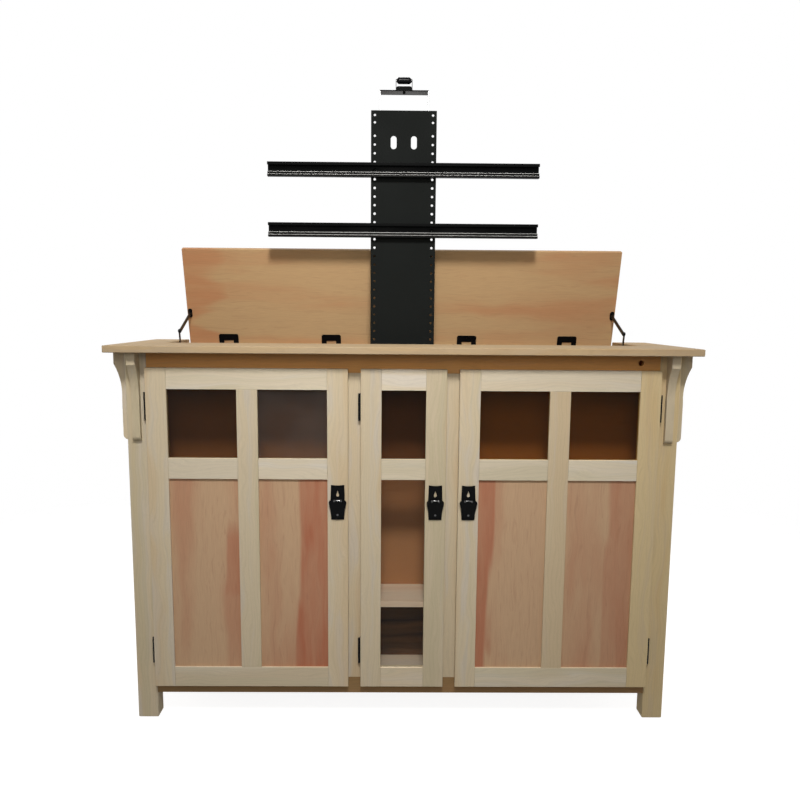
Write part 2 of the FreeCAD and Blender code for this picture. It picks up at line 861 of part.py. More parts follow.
def drop_outline(x, y):
    """The drop's outline: rounded shoulders, straight sides that taper down, and a bowed foot."""
    pivot_z = pull_pivot()[1]
    top_z = pivot_z + drop_rise
    shoulder_z = top_z - drop_shoulder_drop
    low_z = top_z - drop_length
    top_half = drop_shoulder_width / 2 - drop_shoulder_drop
    half_foot = drop_foot_width / 2
    bow = Vector(x, y, low_z - drop_foot_bow)
    edges = [
        line(Vector(x - top_half, y, top_z), Vector(x + top_half, y, top_z)),
        arc(Vector(x - half_foot, y, low_z), bow, Vector(x + half_foot, y, low_z)),
    ]
    bulge = quarter_round * drop_shoulder_drop
    for side in (-1, 1):
        shoulder = Vector(x + side * drop_shoulder_width / 2, y, shoulder_z)
        shoulder_round = Vector(x + side * (top_half + bulge), y, shoulder_z + bulge)
        edges.append(arc(Vector(x + side * top_half, y, top_z), shoulder_round, shoulder))
        edges.append(line(shoulder, Vector(x + side * half_foot, y, low_z)))
    return edges


def pull_drop(x):
    """The tapered drop. It hangs on the pin by a sleeve between the ears, and is slotted round them."""
    pivot_y, pivot_z = pull_pivot()
    y = pivot_y + drop_thickness / 2
    low_z = pivot_z + drop_rise - drop_length
    paddle = extruded(drop_outline(x, y), Vector(0, -drop_thickness, 0))
    slot_half = drop_ear_width / 2 + drop_gap
    for side in (-1, 1):
        ear_x = x + side * drop_ear_spread / 2
        slot_z = (pivot_z - drop_ear_r - drop_gap, pivot_z + drop_rise)
        paddle = paddle.cut(box((ear_x - slot_half, ear_x + slot_half), (y - drop_thickness, y), slot_z))
    sleeve_half = drop_ear_spread / 2 - slot_half
    sleeve = faceted_x((x - sleeve_half, x + sleeve_half), pivot_y, pivot_z, drop_sleeve_r)
    boss_y = (y - drop_thickness - drop_boss_height, y - drop_thickness)
    boss = faceted_y(x, boss_y, low_z + drop_boss_rise, drop_boss_r)
    bore = cylinder_x((x - sleeve_half, x + sleeve_half), pivot_y, pivot_z, drop_pin_r + pin_clearance)
    return paddle.fuse(sleeve).fuse(boss).cut(bore).removeSplitter()


# ---------------------------------------------------------------- lid
def lid_panel():
    x_span = (-lid_half_width, lid_half_width)
    board = box(x_span, (back_y - lid_length, back_y), (top_under_z, top_under_z + lid_thickness))
    return [opened(eased(board, lid_arris))]


def lid_leaf_blank(x, width, length):
    """A hinge leaf lying in the joint between the lid and the back rail, from the pin forward."""
    z_span = (lid_axis_z - leaf_half, lid_axis_z + leaf_half)
    return box((x - width / 2, x + width / 2), (lid_axis_y - length, lid_axis_y), z_span)


def is_along_y(edge):
    start, end = (vertex.Point for vertex in edge.Vertexes)
    return math.hypot(start.x - end.x, start.z - end.z) < touch


def upright_edges(shape, is_wanted):
    """The edges of a shape that run along Z and whose X, Y place is wanted."""
    chosen = []
    for edge in shape.Edges:
        start, end = (vertex.Point for vertex in edge.Vertexes)
        if math.hypot(start.x - end.x, start.y - end.y) < touch and is_wanted(start):
            chosen.append(edge)
    return chosen


def lid_hinge_leaves():
    """U-shaped leaves under the lid. A knuckle at each foot of the U holds the pin between them."""
    inner_half = rail_leaf_width / 2 + leaf_side_gap
    outer_half = lid_leaf_width / 2
    far_y = lid_axis_y - lid_leaf_length
    solids = []
    for x in lid_hinge_xs:
        leaf = lid_leaf_blank(x, lid_leaf_width, lid_leaf_length)
        corners = upright_edges(leaf, lambda point: point.y < far_y + touch)
        leaf = leaf.makeChamfer(lid_leaf_corner, corners)
        leaf = leaf.cut(lid_leaf_blank(x, 2 * inner_half, rail_leaf_length + leaf_side_gap))
        for side in (-1, 1):
            x_span = (x + side * inner_half, x + side * outer_half)
            leaf = leaf.fuse(faceted_x(x_span, lid_axis_y, lid_axis_z, lid_barrel_r))
        pin = cylinder_x((x - inner_half, x + inner_half), lid_axis_y, lid_axis_z, lid_pin_r)
        solids.append(opened(leaf.fuse(pin).removeSplitter()))
    return solids


def lid_hinge_rail_leaves():
    """Inner leaves on the back rail's top edge, each with a knuckle bored for the pin."""
    solids = []
    for x in lid_hinge_xs:
        x_span = (x - rail_leaf_width / 2, x + rail_leaf_width / 2)
        leaf = lid_leaf_blank(x, rail_leaf_width, rail_leaf_length)
        leaf = leaf.fuse(faceted_x(x_span, lid_axis_y, lid_axis_z, lid_barrel_r))
        bore = faceted_x(x_span, lid_axis_y, lid_axis_z, round_clearance(lid_pin_r + pin_clearance))
        solids.append(leaf.cut(bore).removeSplitter())
    return solids


# ---------------------------------------------------------------- folding lid stays
def lid_point(distance, below_face):
    """A point of the opened lid: distance from the hinge line, and depth below its underside."""
    angle = lid_open_angle
    y = -distance
    z = leaf_half - below_face
    return (lid_axis_y + y * math.cos(angle) + z * math.sin(angle),
            lid_axis_z - y * math.sin(angle) + z * math.cos(angle))


stay_lid_pivot = lid_point(stay_lid_distance, stay_standoff)
stay_elbow = (back_y - elbow_from_back, top_surface_z + elbow_above_top)
stay_low_pivot = (back_y - stay_bracket_from_back, top_surface_z - stay_bracket_below_top)
arm_face_in = stay_plane_x - stay_arm_gap / 2
arm_face_out = stay_plane_x + stay_arm_gap / 2
upper_arm_x = (arm_face_in - stay_arm_thickness, arm_face_in)
lower_arm_x = (arm_face_out, arm_face_out + stay_arm_thickness)


def round_ended_bar(x_span, start, end, half):
    """A flat bar along two points of a YZ plane. Its round ends are drawn with flats."""
    slope = math.atan2(end[1] - start[1], end[0] - start[0])
    turn = 2 * math.pi / small_round_sides
    points = []
    for (y, z), facing in ((end, slope), (start, slope + math.pi)):
        for step in range(small_round_sides // 2 + 1):
            angle = facing - math.pi / 2 + step * turn
            points.append(Vector(min(x_span), y + half * math.cos(angle), z + half * math.sin(angle)))
    return polygon_prism(points, Vector(max(x_span) - min(x_span), 0, 0))


def stay_upper_arm():
    """The arm from the lid to the elbow. It carries the elbow's rivet."""
    arm = round_ended_bar(upper_arm_x, stay_lid_pivot, stay_elbow, stay_arm_width / 2)
    arm = arm.cut(cylinder_x(upper_arm_x, *stay_lid_pivot, stay_pin_r + pin_clearance))
    far_x = lower_arm_x[1] + stay_arm_gap
    arm = arm.fuse(faceted_x((upper_arm_x[1], far_x), *stay_elbow, stay_pin_r))
    for head_x in (upper_arm_x[0] - stay_head_thickness, far_x):
        arm = arm.fuse(faceted_x((head_x, head_x + stay_head_thickness), *stay_elbow, stay_head_r))
    return arm.removeSplitter()


def stay_lower_arm():
    """The arm from the cabinet to the elbow. Its elbow hole is the linkage's loose one."""
    arm = round_ended_bar(lower_arm_x, stay_low_pivot, stay_elbow, stay_arm_width / 2)
    pivot_hole = cylinder_x(lower_arm_x, *stay_low_pivot, stay_pin_r + pin_clearance)
    elbow_hole = faceted_x(lower_arm_x, *stay_elbow, round_clearance(stay_pin_r + elbow_clearance))
    return cut_by(arm, [pivot_hole, elbow_hole])


def lid_stay_plate():
    """An oval plate under the lid, with a lug that carries the upper arm's rivet."""
    half = stay_plate_width / 2
    reach = stay_plate_length / 2 - half
    pivot_y = lid_axis_y - stay_lid_distance
    pivot_z = top_under_z - stay_standoff
    foot_z = (top_under_z - stay_plate_thickness, top_under_z)
    plate = box((stay_plane_x - half, stay_plane_x + half), (pivot_y - reach, pivot_y + reach), foot_z)
    for y in (pivot_y - reach, pivot_y + reach):
        plate = plate.fuse(faceted_z(stay_plane_x, y, foot_z, half))
    lug_low_x = upper_arm_x[1] + stay_arm_gap
    lug_span = (lug_low_x, lug_low_x + stay_plate_thickness)
    lug_half = stay_arm_width / 2
    lug = faceted_x(lug_span, pivot_y, pivot_z, lug_half)
    web_half = lug_half * math.cos(math.pi / small_round_sides)
    web = box(lug_span, (pivot_y - web_half, pivot_y + web_half), (pivot_z, top_under_z))
    rivet_low_x = upper_arm_x[0] - stay_arm_gap
    rivet = cylinder_x((rivet_low_x, lug_low_x), pivot_y, pivot_z, stay_pin_r)
    head = faceted_x((rivet_low_x - stay_head_thickness, rivet_low_x), pivot_y, pivot_z, stay_head_r)
    return opened(plate.fuse([web, lug, rivet, head]).removeSplitter())


def stay_cabinet_bracket():
    """A round flange on the rail beside the opening, with the post that carries the lower arm."""
    wall_x = opening_width / 2
    post_x = lower_arm_x[1] + stay_arm_gap
    pin_x = lower_arm_x[0] - stay_arm_gap
    bracket = faceted_x((wall_x - stay_plate_thickness, wall_x), *stay_low_pivot, stay_flange_r)
    bracket = bracket.fuse(faceted_x((post_x, wall_x), *stay_low_pivot, stay_boss_r))
    bracket = bracket.fuse(cylinder_x((pin_x, post_x), *stay_low_pivot, stay_pin_r))
    head = faceted_x((pin_x - stay_head_thickness, pin_x), *stay_low_pivot, stay_head_r)
    return bracket.fuse(head).removeSplitter()


# ---------------------------------------------------------------- moving mast and what it carries
def mast_hole_rows():
    """Heights of the mast's edge holes, and whether the row is one for a further bracket.

    Even rows pass the crossbars' bolts, and two closer rows stand at the top.
    """
    rows = range(-mast_hole_rows_down, mast_hole_rows_up + 1)
    heights = [(upper_bar_z + row * mast_hole_pitch, row in mast_bracket_rows) for row in rows]
    return heights + [(mast_top_z - drop, False) for drop in mast_top_row_drops]


def mast_slots(y_span):
    """Two upright slots with round ends."""
    slot_z = mast_top_z - mast_slot_drop
    end_r = mast_slot_width / 2
    straight = mast_slot_height / 2 - end_r
    slots = []
    for side in (-1, 1):
        x = side * mast_slot_x
        flat = end_r * math.cos(math.pi / small_round_sides)
        slots.append(box((x - flat, x + flat), y_span, (slot_z - straight, slot_z + straight)))
        slots += [faceted_y(x, y_span, slot_z + offset, end_r) for offset in (-straight, straight)]
    return slots


def mast_channel():
    """A folded channel, open to the back, with a row of holes along each edge and two slots."""
    z_span = (mast_foot_z, mast_top_z)
    outer = box((-mast_half, mast_half), (mast_y, mast_back_y), z_span)
    outer = outer.makeFillet(mast_wall, upright_edges(outer, lambda point: point.y < mast_y + touch))
    inner_half = mast_half - mast_wall
    channel = outer.cut(box((-inner_half, inner_half), (web_back_y, mast_back_y), z_span))
    y_span = (mast_y, web_back_y)
    holes = mast_slots(y_span)
    for z, takes_bracket in mast_hole_rows():
        cutter = cylinder_y if takes_bracket else faceted_y
        holes += [cutter(side * mast_hole_x, y_span, z, mast_hole_r) for side in (-1, 1)]
    return [channel.cut(Part.makeCompound(holes))]


def crossbar(z):
    """A rail open to the front: an upper lip, and a lower lip stepped back into a notched hem."""
    back = mast_y
    front = bar_front_y
    low = z - bar_height / 2
    high = z + bar_height / 2
    hem = front + bar_hem_setback
    step_z = low + bar_lower_lip
    outline = [
        (back, low), (front, low),
        (front, step_z), (hem, step_z),
        (hem, low + bar_hem_height), (hem + bar_wall, low + bar_hem_height),
        (hem + bar_wall, step_z - bar_wall), (front + bar_wall, step_z - bar_wall),
        (front + bar_wall, low + bar_wall), (back - bar_wall, low + bar_wall),
        (back - bar_wall, high - bar_wall), (front + bar_wall, high - bar_wall),
        (front + bar_wall, high - bar_upper_lip), (front, high - bar_upper_lip),
        (front, high), (back, high),
    ]
    points = [Vector(-bar_length / 2, y, height) for y, height in outline]
    rail = polygon_prism(points, Vector(bar_length, 0, 0))
    cuts = []
    for side in (-1, 1):
        x = side * mast_hole_x
        cuts.append(faceted_y(x, (back - bar_wall, back), z, mast_hole_r))
        x_span = (x - bar_hem_notch / 2, x + bar_hem_notch / 2)
        cuts.append(box(x_span, (hem, hem + bar_wall), (step_z, low + bar_hem_height)))
    return cut_by(rail, cuts)


def crossbars():
    return [crossbar(z) for z in crossbar_zs]


def lift_bolts():
    """Bolts that clamp each crossbar to the mast, with their nuts behind the web."""
    head_back = mast_y - bar_wall
    solids = []
    for z in crossbar_zs:
        for x in (-mast_hole_x, mast_hole_x):
            head = faceted_y(x, (head_back - bolt_head_height, head_back), z, bolt_head_r)
            shank = faceted_y(x, (head_back, web_back_y), z, bolt_r)
            nut_r = nut_across_flats / 2 / math.cos(math.pi / nut_sides)
            nut = faceted(Vector(x, web_back_y, z), Vector(0, nut_height, 0), nut_r, nut_sides)
            solids.append(head.fuse([shank, nut]).removeSplitter())
    return solids


def roller_fork():
    """A round-shouldered base and two ears that hold the roller's axle."""
    y_span = (roller_axis_y - fork_depth / 2, roller_axis_y + fork_depth / 2)
    half = fork_width / 2
    crown_z = pusher_top_z + fork_base_height
    fork = box((-half, half), y_span, (pusher_top_z, crown_z))
    crown = [edge for edge in fork.Edges if is_along_y(edge) and edge.Vertexes[0].Z > crown_z - touch]
    fork = fork.makeFillet(fork_crown_r, crown)
    inner = roller_length / 2 + roller_side_gap
    for side in (-1, 1):
        x_span = (side * inner, side * (inner + fork_wall))
        ear_y = (roller_axis_y - roller_end_r, roller_axis_y + roller_end_r)
        fork = fork.fuse(box(x_span, ear_y, (pusher_top_z, roller_axis_z)))
        fork = fork.fuse(faceted_x(x_span, roller_axis_y, roller_axis_z, roller_end_r))
    return fork.fuse(cylinder_x((-inner, inner), roller_axis_y, roller_axis_z, roller_axle_r))


def lid_pusher_bracket():
    """A flat plate under the roller's fork, on two narrow legs that run down behind the mast's web."""
    half = pusher_width / 2
    plate_low_z = pusher_top_z - pusher_plate
    plate = box((-half, half), (web_back_y, web_back_y + pusher_depth), (plate_low_z, pusher_top_z))
    leg_y = (web_back_y, web_back_y + pusher_leg_depth)
    leg_z = (mast_top_z - pusher_leg_lap, pusher_top_z)
    legs = both_sides(box((half - pusher_plate, half), leg_y, leg_z))
    bolt_z = (plate_low_z - pusher_bolt_height, plate_low_z)
    bolt = faceted_z(0, web_back_y + pusher_bolt_from_front, bolt_z, pusher_bolt_r)
    return [plate.fuse(legs + [roller_fork(), bolt]).removeSplitter()]


def lid_roller():
    """A barrel roller, straight in the middle and tapered to its ends."""
    half = roller_length / 2
    start = Vector(-half, roller_axis_y, roller_axis_z)
    barrel = faceted(start, Vector(roller_length, 0, 0), roller_r, roller_sides)
    rims = [edge for edge in barrel.Edges if abs(edge.Vertexes[0].X - edge.Vertexes[1].X) < touch]
    barrel = barrel.makeChamfer(roller_taper, rims)
    bore = cylinder_x((-half, half), roller_axis_y, roller_axis_z, roller_axle_r + pin_clearance)
    return [barrel.cut(bore)]


def guide_pads():
    """Nylon shoes inside the mast's foot. Each wraps the outer side of one guide rail."""
    z_low = mast_foot_z + pad_above_mast_foot
    z_span = (z_low, z_low + pad_height)
    inner_x = rail_outer_x - pad_lip
    outer_x = mast_half - mast_wall
    front = rail_y - pad_clearance
    rear = rail_y + rail_depth + pad_clearance
    block = box((inner_x, outer_x), (front - pad_lip_depth, rear + pad_lip_depth), z_span)
    return both_sides(block.cut(box((inner_x, rail_outer_x + pad_clearance), (front, rear), z_span)))


def drive_gearbox():
    """The drive on the mast's foot. It climbs the fixed screw, with its motor beside the screw."""
    half = gearbox_width / 2
    top_z = mast_foot_z + gearbox_height
    case = box((-half, half), (web_back_y, rail_y + rail_depth), (mast_foot_z, top_z))
    motor = faceted_z(motor_x, screw_y, (top_z, top_z + motor_length), motor_r)
    bore = cylinder_z(0, screw_y, (mast_foot_z, top_z), screw_r + pin_clearance)
    return [case.fuse(motor).cut(bore).removeSplitter()]


# ---------------------------------------------------------------- fixed part of the lift, its controls
def guide_rail():
    """A channel that faces the screw, on the right of it."""
    y_span = (rail_y, rail_y + rail_depth)
    z_span = (rail_foot_z, rail_top_z)
    hollow_y = (rail_y + rail_wall, rail_y + rail_depth - rail_wall)
    hollow = box((rail_inner_x, rail_outer_x - rail_wall), hollow_y, z_span)
    return box((rail_inner_x, rail_outer_x), y_span, z_span).cut(hollow)


def lift_guide_frame():
    """A base plate, two upright guide rails, and a tie behind them that holds them to the back rail."""
    inside_back = back_y - back_rail_thickness
    half = base_plate_width / 2
    base = box((-half, half), (rail_y - base_plate_lap, inside_back), (bay_floor_z, rail_foot_z))
    head_half = rail_outer_x - pad_lip - crosshead_pad_gap
    head_z = (rail_top_z - crosshead_thickness, rail_top_z)
    crosshead = box((-head_half, head_half), (rail_y + rail_depth, inside_back), head_z)
    return [base, crosshead] + both_sides(guide_rail())


def lead_screw():
    return [cylinder_z(0, screw_y, (rail_foot_z, rail_top_z), screw_r)]


def control_box():
    """The lift's electronics case, on the bottom board beside the guide frame."""
    y_high = back_y - back_rail_thickness - control_box_back_gap
    x_high = -base_plate_width / 2 - control_box_gap
    x_span = (x_high - control_box_width, x_high)
    z_span = (bay_floor_z, bay_floor_z + control_box_height)
    return [eased(box(x_span, (y_high - control_box_depth, y_high), z_span), control_box_arris)]


# ---------------------------------------------------------------- sub-parts by node name
def door_nodes():
    nodes = {}
    for name, door in DOORS.items():
        low, high = door["span"]
        glass, panels = door_pane_boxes(low, high, door["columns"])
        nodes[name + "_door_stiles"] = door_stiles(low, high, door["columns"])
        nodes[name + "_door_rails"] = door_rails(low, high, door["columns"])
        if door["columns"] == 1:
            nodes[name + "_door_glass"] = glass + panels
        else:
            nodes[name + "_door_glass"] = glass
            nodes[name + "_door_panels"] = panels
        x = pull_centre_x(door)
        nodes[name + "_door_fittings"] = door_hinge_leaves(*hinge_side(door)) + [strike_plate(door)]
        nodes[name + "_pull_plate"] = [pull_plate(x)]
        nodes[name + "_pull_drop"] = [pull_drop(x)]
    return nodes


def all_nodes():
    upper_arm = stay_upper_arm()
    lower_arm = stay_lower_arm()
    nodes = {
        "front_legs": both_sides(leg(leg_front_y)),
        "rear_legs": both_sides(leg(leg_rear_y)),
        "top_boards": top_boards(),
        "front_corbels": front_corbels(),
        "side_corbels": side_corbels(),
        "face_rails": face_top_rail() + face_bottom_rail(),
        "face_stiles": face_stiles(),
        "side_frames": side_frames(),
        "side_panels": side_panels(),
        "back_rails": back_rails(),
        "back_panel": back_panel(),
        "bottom_board": bottom_board(),
        "partition_panel": partition_panel(),
        "bay_dividers": bay_dividers(),
        "shelves": shelves(),
        "shelf_cleats": shelf_cleats(),
        "lid_support_rails": lid_support_rails(),
        "lid_hinge_rail_leaves": lid_hinge_rail_leaves(),
        "stay_cabinet_brackets": both_sides(stay_cabinet_bracket()),
        "door_hinge_frame_leaves": door_hinge_frame_leaves(),
        "door_catches": door_catches(),
        "lift_guide_frame": lift_guide_frame(),
        "lead_screw": lead_screw(),
        "control_box": control_box(),
        "lid_panel": lid_panel(),
        "lid_hinge_leaves": lid_hinge_leaves(),
        "lid_stay_plates": both_sides(lid_stay_plate()),
        "left_stay_upper_arm": [mirrored(upper_arm)],
        "left_stay_lower_arm": [mirrored(lower_arm)],
        "right_stay_upper_arm": [upper_arm],
        "right_stay_lower_arm": [lower_arm],
        "mast_channel": mast_channel(),
        "crossbars": crossbars(),
        "lift_bolts": lift_bolts(),
        "lid_pusher_bracket": lid_pusher_bracket(),
        "lid_roller": lid_roller(),
        "guide_pads": guide_pads(),
        "drive_gearbox": drive_gearbox(),
    }
    nodes.update(door_nodes())
    return nodes


os.makedirs("parts", exist_ok=True)
for node, solids in all_nodes().items():
    shape = solids[0] if len(solids) == 1 else Part.makeCompound(solids)
    shape.exportStep(os.path.join("parts", node + ".step"))
    state = "valid" if shape.isValid() else "NOT VALID"
    print(node, len(shape.Solids), "solid(s)", state, round(shape.Volume, 1))
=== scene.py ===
import json
import math
import random

import bmesh
import bpy
from mathutils import Matrix, Vector


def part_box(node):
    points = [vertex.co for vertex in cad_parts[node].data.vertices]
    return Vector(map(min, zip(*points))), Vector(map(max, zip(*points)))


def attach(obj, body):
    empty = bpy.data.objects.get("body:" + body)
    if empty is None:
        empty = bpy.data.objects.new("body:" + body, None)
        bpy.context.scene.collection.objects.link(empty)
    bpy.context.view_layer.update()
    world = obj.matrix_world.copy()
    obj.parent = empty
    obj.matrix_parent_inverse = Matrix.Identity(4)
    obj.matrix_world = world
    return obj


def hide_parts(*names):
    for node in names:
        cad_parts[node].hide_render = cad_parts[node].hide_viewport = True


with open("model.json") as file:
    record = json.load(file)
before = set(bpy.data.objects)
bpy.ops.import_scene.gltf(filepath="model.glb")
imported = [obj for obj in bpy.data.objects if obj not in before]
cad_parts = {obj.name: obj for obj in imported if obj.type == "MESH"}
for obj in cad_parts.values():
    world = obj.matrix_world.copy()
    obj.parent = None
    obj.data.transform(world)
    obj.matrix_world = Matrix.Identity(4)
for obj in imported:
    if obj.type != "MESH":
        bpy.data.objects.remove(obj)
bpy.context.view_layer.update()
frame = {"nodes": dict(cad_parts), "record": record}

# Mission style TV lift cabinet. Metres, X to the right, the doors face -Y, Z up, the floor at 0.
# Boards are the CAD solids with eased edges. Each board carries its own grain direction and offset.

MM = 0.001
SAME_PLACE = 0.01 * MM
# Degrees between two faces. Edges with a smaller turn than the least are left as they are. The
# flats of the CAD's round forms turn by less than FLATS_TURN, those of the curves made here by less
# than CURVE_TURN, and true corners by more.
LEAST_TURN, CURVE_TURN, FLATS_TURN, ANY_TURN = 32, 50, 60, 180
UPRIGHT = 2  # the index of the Z axis

scene = bpy.context.scene
BODY_OF = {node: body for body, nodes in frame["record"]["behaviour"]["bodies"].items()
           for node in nodes}


# ---------------------------------------------------------------- mesh tools
# A patch is (distance inside its border, height in half reaches from its middle, strength).
NO_PATCH = (-1.0, 0.0, 0.0)
# How far along and across its log a board may come from, in metres
LOG_REACH = (40, 9, 9)


def solids_of(node):
    """A node's closed solids, in file order. An edge is open until its second triangle has come."""
    mesh = frame["nodes"][node].data
    solids, corners, faces, open_edges = [], {}, [], set()
    for polygon in mesh.polygons:
        keys = [tuple(round(value, 6) for value in mesh.vertices[i].co) for i in polygon.vertices]
        if len(set(keys)) < 3:
            continue
        for start, end in zip(keys, keys[1:] + keys[:1]):
            open_edges ^= {frozenset((start, end))}
        faces.append([corners.setdefault(key, len(corners)) for key in keys])
        if not open_edges:
            solids.append(solid_mesh(list(corners), faces))
            corners, faces = {}, []
    return solids


def solid_mesh(points, faces):
    """A mesh from its points and its faces' corners. Triangles that lie level become one face."""
    solid = bmesh.new()
    verts = [solid.verts.new(point) for point in points]
    for face in faces:
        solid.faces.new([verts[i] for i in face])
    bmesh.ops.dissolve_limit(solid, angle_limit=0.01, verts=solid.verts, edges=solid.edges)
    return solid


def extents(solid):
    """The low and the high corner of the box round a mesh."""
    points = [vert.co for vert in solid.verts]
    low = Vector([min(point[axis] for point in points) for axis in range(3)])
    high = Vector([max(point[axis] for point in points) for axis in range(3)])
    return low, high


def eased(solid, width, segments=2, flattest=LEAST_TURN, sharpest=ANY_TURN):
    """Rounds the edges whose faces turn by an angle between the two limits."""
    least, most = math.radians(flattest), math.radians(sharpest)
    solid.normal_update()
    edges = [edge for edge in solid.edges
             if len(edge.link_faces) == 2 and least < edge.calc_face_angle() < most]
    bmesh.ops.bevel(solid, geom=edges, offset=width, offset_type="OFFSET", segments=segments,
                    profile=0.5, affect="EDGES", clamp_overlap=True)
    return solid


def with_grain(solid, seed, along=None, patch=None):
    """Stores what the wood shaders read at each vertex.

    grain holds the grain's own coordinates, X along the board, from a place chosen for the board.
    The board runs along the given axis, or else along its longest one. board holds three numbers
    chosen for the board, and patch what the given function says for the place.
    """
    chance = random.Random(seed)
    low, high = extents(solid)
    size = high - low
    if along is None:
        along = max(range(3), key=lambda axis: size[axis])
    across = sorted((axis for axis in range(3) if axis != along), key=lambda axis: -size[axis])
    order = [along] + across
    offset = Vector([chance.uniform(0, reach) for reach in LOG_REACH])
    kind = Vector([chance.random() for number in range(3)])
    grain = solid.verts.layers.float_vector.new("grain")
    board = solid.verts.layers.float_vector.new("board")
    spot = solid.verts.layers.float_vector.new("patch")
    for vert in solid.verts:
        vert[grain] = Vector([vert.co[axis] for axis in order]) + offset
        vert[board] = kind
        vert[spot] = patch(vert.co) if patch else NO_PATCH
    return solid


def stand_in(node, parts, smooth=35.0):
    """One object out of (bmesh, material) pairs. It stands for a CAD node and rides on its body.

    In place of a material, a pair may have a function that picks one for each face. Edges that
    turn by more than smooth degrees stay sharp.
    """
    name = node + "_finish"
    whole = bmesh.new()
    materials = []
    for part, material in parts:
        bmesh.ops.recalc_face_normals(part, faces=part.faces)
        for face in part.faces:
            chosen = material(face) if callable(material) else material
            if chosen not in materials:
                materials.append(chosen)
            face.material_index = materials.index(chosen)
        mesh = bpy.data.meshes.new(name)
        part.to_mesh(mesh)
        part.free()
        whole.from_mesh(mesh)
        bpy.data.meshes.remove(mesh)
    mesh = bpy.data.meshes.new(name)
    whole.to_mesh(mesh)
    whole.free()
    for material in materials:
        mesh.materials.append(material)
    mesh.shade_smooth()
    mesh.set_sharp_from_angle(angle=math.radians(smooth))
    piece = bpy.data.objects.new(name, mesh)
    scene.collection.objects.link(piece)
    weighted = piece.modifiers.new("even_flats", "WEIGHTED_NORMAL")
    weighted.keep_sharp = True
    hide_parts(node)
    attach(piece, BODY_OF[node])


def turned(profile, centre, axis, steps=32):
    """A lathed form. The profile is (distance along the axis, radius) from one end to the other."""
    form = bmesh.new()
    axis = Vector(axis).normalized()
    side = axis.orthogonal().normalized()
    other = axis.cross(side)
    rings = []
    for distance, radius in profile:
        middle = Vector(centre) + axis * distance
        if radius == 0.0:
            rings.append([form.verts.new(middle)])
            continue
        turns = [2 * math.pi * step / steps for step in range(steps)]
        rings.append([form.verts.new(middle + (side * math.cos(t) + other * math.sin(t)) * radius)
                      for t in turns])
    for lower, upper in zip(rings, rings[1:]):
        for step in range(steps):
            after = (step + 1) % steps
            if len(lower) == 1:
                form.faces.new((lower[0], upper[after], upper[step]))
            elif len(upper) == 1:
                form.faces.new((lower[step], lower[after], upper[0]))
            else:
                form.faces.new((lower[step], lower[after], upper[after], upper[step]))
    for ring in (rings[0], rings[-1]):
        if len(ring) > 1:
            form.faces.new(ring)
    return form


def slab(outline, normal, depth):
    """A flat plate from the points of its outline, thickened along the normal."""
    form = bmesh.new()
    face = form.faces.new([form.verts.new(point) for point in outline])
    moved = bmesh.ops.extrude_face_region(form, geom=[face])["geom"]
    shift = Vector(normal).normalized() * depth
    verts = [item for item in moved if isinstance(item, bmesh.types.BMVert)]
    bmesh.ops.translate(form, vec=shift, verts=verts)
    return form


def block(low, high, width):
    """A box between two corners, its edges eased."""
    ring = [(low[0], low[1]), (high[0], low[1]), (high[0], high[1]), (low[0], high[1])]
    form = slab([Vector((x, y, low[2])) for x, y in ring], (0, 0, 1), high[2] - low[2])
    return eased(form, width)


def arc_points(centre, radius, start, end, steps):
    """Points (a, b) of an arc, with its angles in degrees."""
    points = []
    for step in range(steps + 1):
        angle = math.radians(start + (end - start) * step / steps)
        points.append((centre[0] + radius * math.cos(angle), centre[1] + radius * math.sin(angle)))
    return points


def cut_away(form, cutter):
    """The first mesh less the second one, worked out exactly."""
    objects = []
    for part in (form, cutter):
        bmesh.ops.recalc_face_normals(part, faces=part.faces)
        mesh = bpy.data.meshes.new("cutting")
        part.to_mesh(mesh)
        part.free()
        objects.append(bpy.data.objects.new("cutting", mesh))
        scene.collection.objects.link(objects[-1])
    target, tool = objects
    modifier = target.modifiers.new("cut", "BOOLEAN")
    modifier.operation = "DIFFERENCE"
    modifier.solver = "EXACT"
    modifier.object = tool
    seen = target.evaluated_get(bpy.context.evaluated_depsgraph_get())
    result = bmesh.new()
    result.from_mesh(seen.to_mesh())
    seen.to_mesh_clear()
    for item in objects:
        mesh = item.data
        bpy.data.objects.remove(item)
        bpy.data.meshes.remove(mesh)
    return result


def merged(parts):
    """Several bmeshes as one, without joining their surfaces."""
    whole = bmesh.new()
    for part in parts:
        mesh = bpy.data.meshes.new("part")
        part.to_mesh(mesh)
        part.free()
        whole.from_mesh(mesh)
        bpy.data.meshes.remove(mesh)
    return whole


# ---------------------------------------------------------------- material tools
def screen(colour):
    """A linear colour with its alpha from three screen values of 0 to 255."""
    def linear(value):
        value /= 255.0
        return value / 12.92 if value <= 0.04045 else ((value + 0.055) / 1.055) ** 2.4
    return (*map(linear, colour), 1.0)


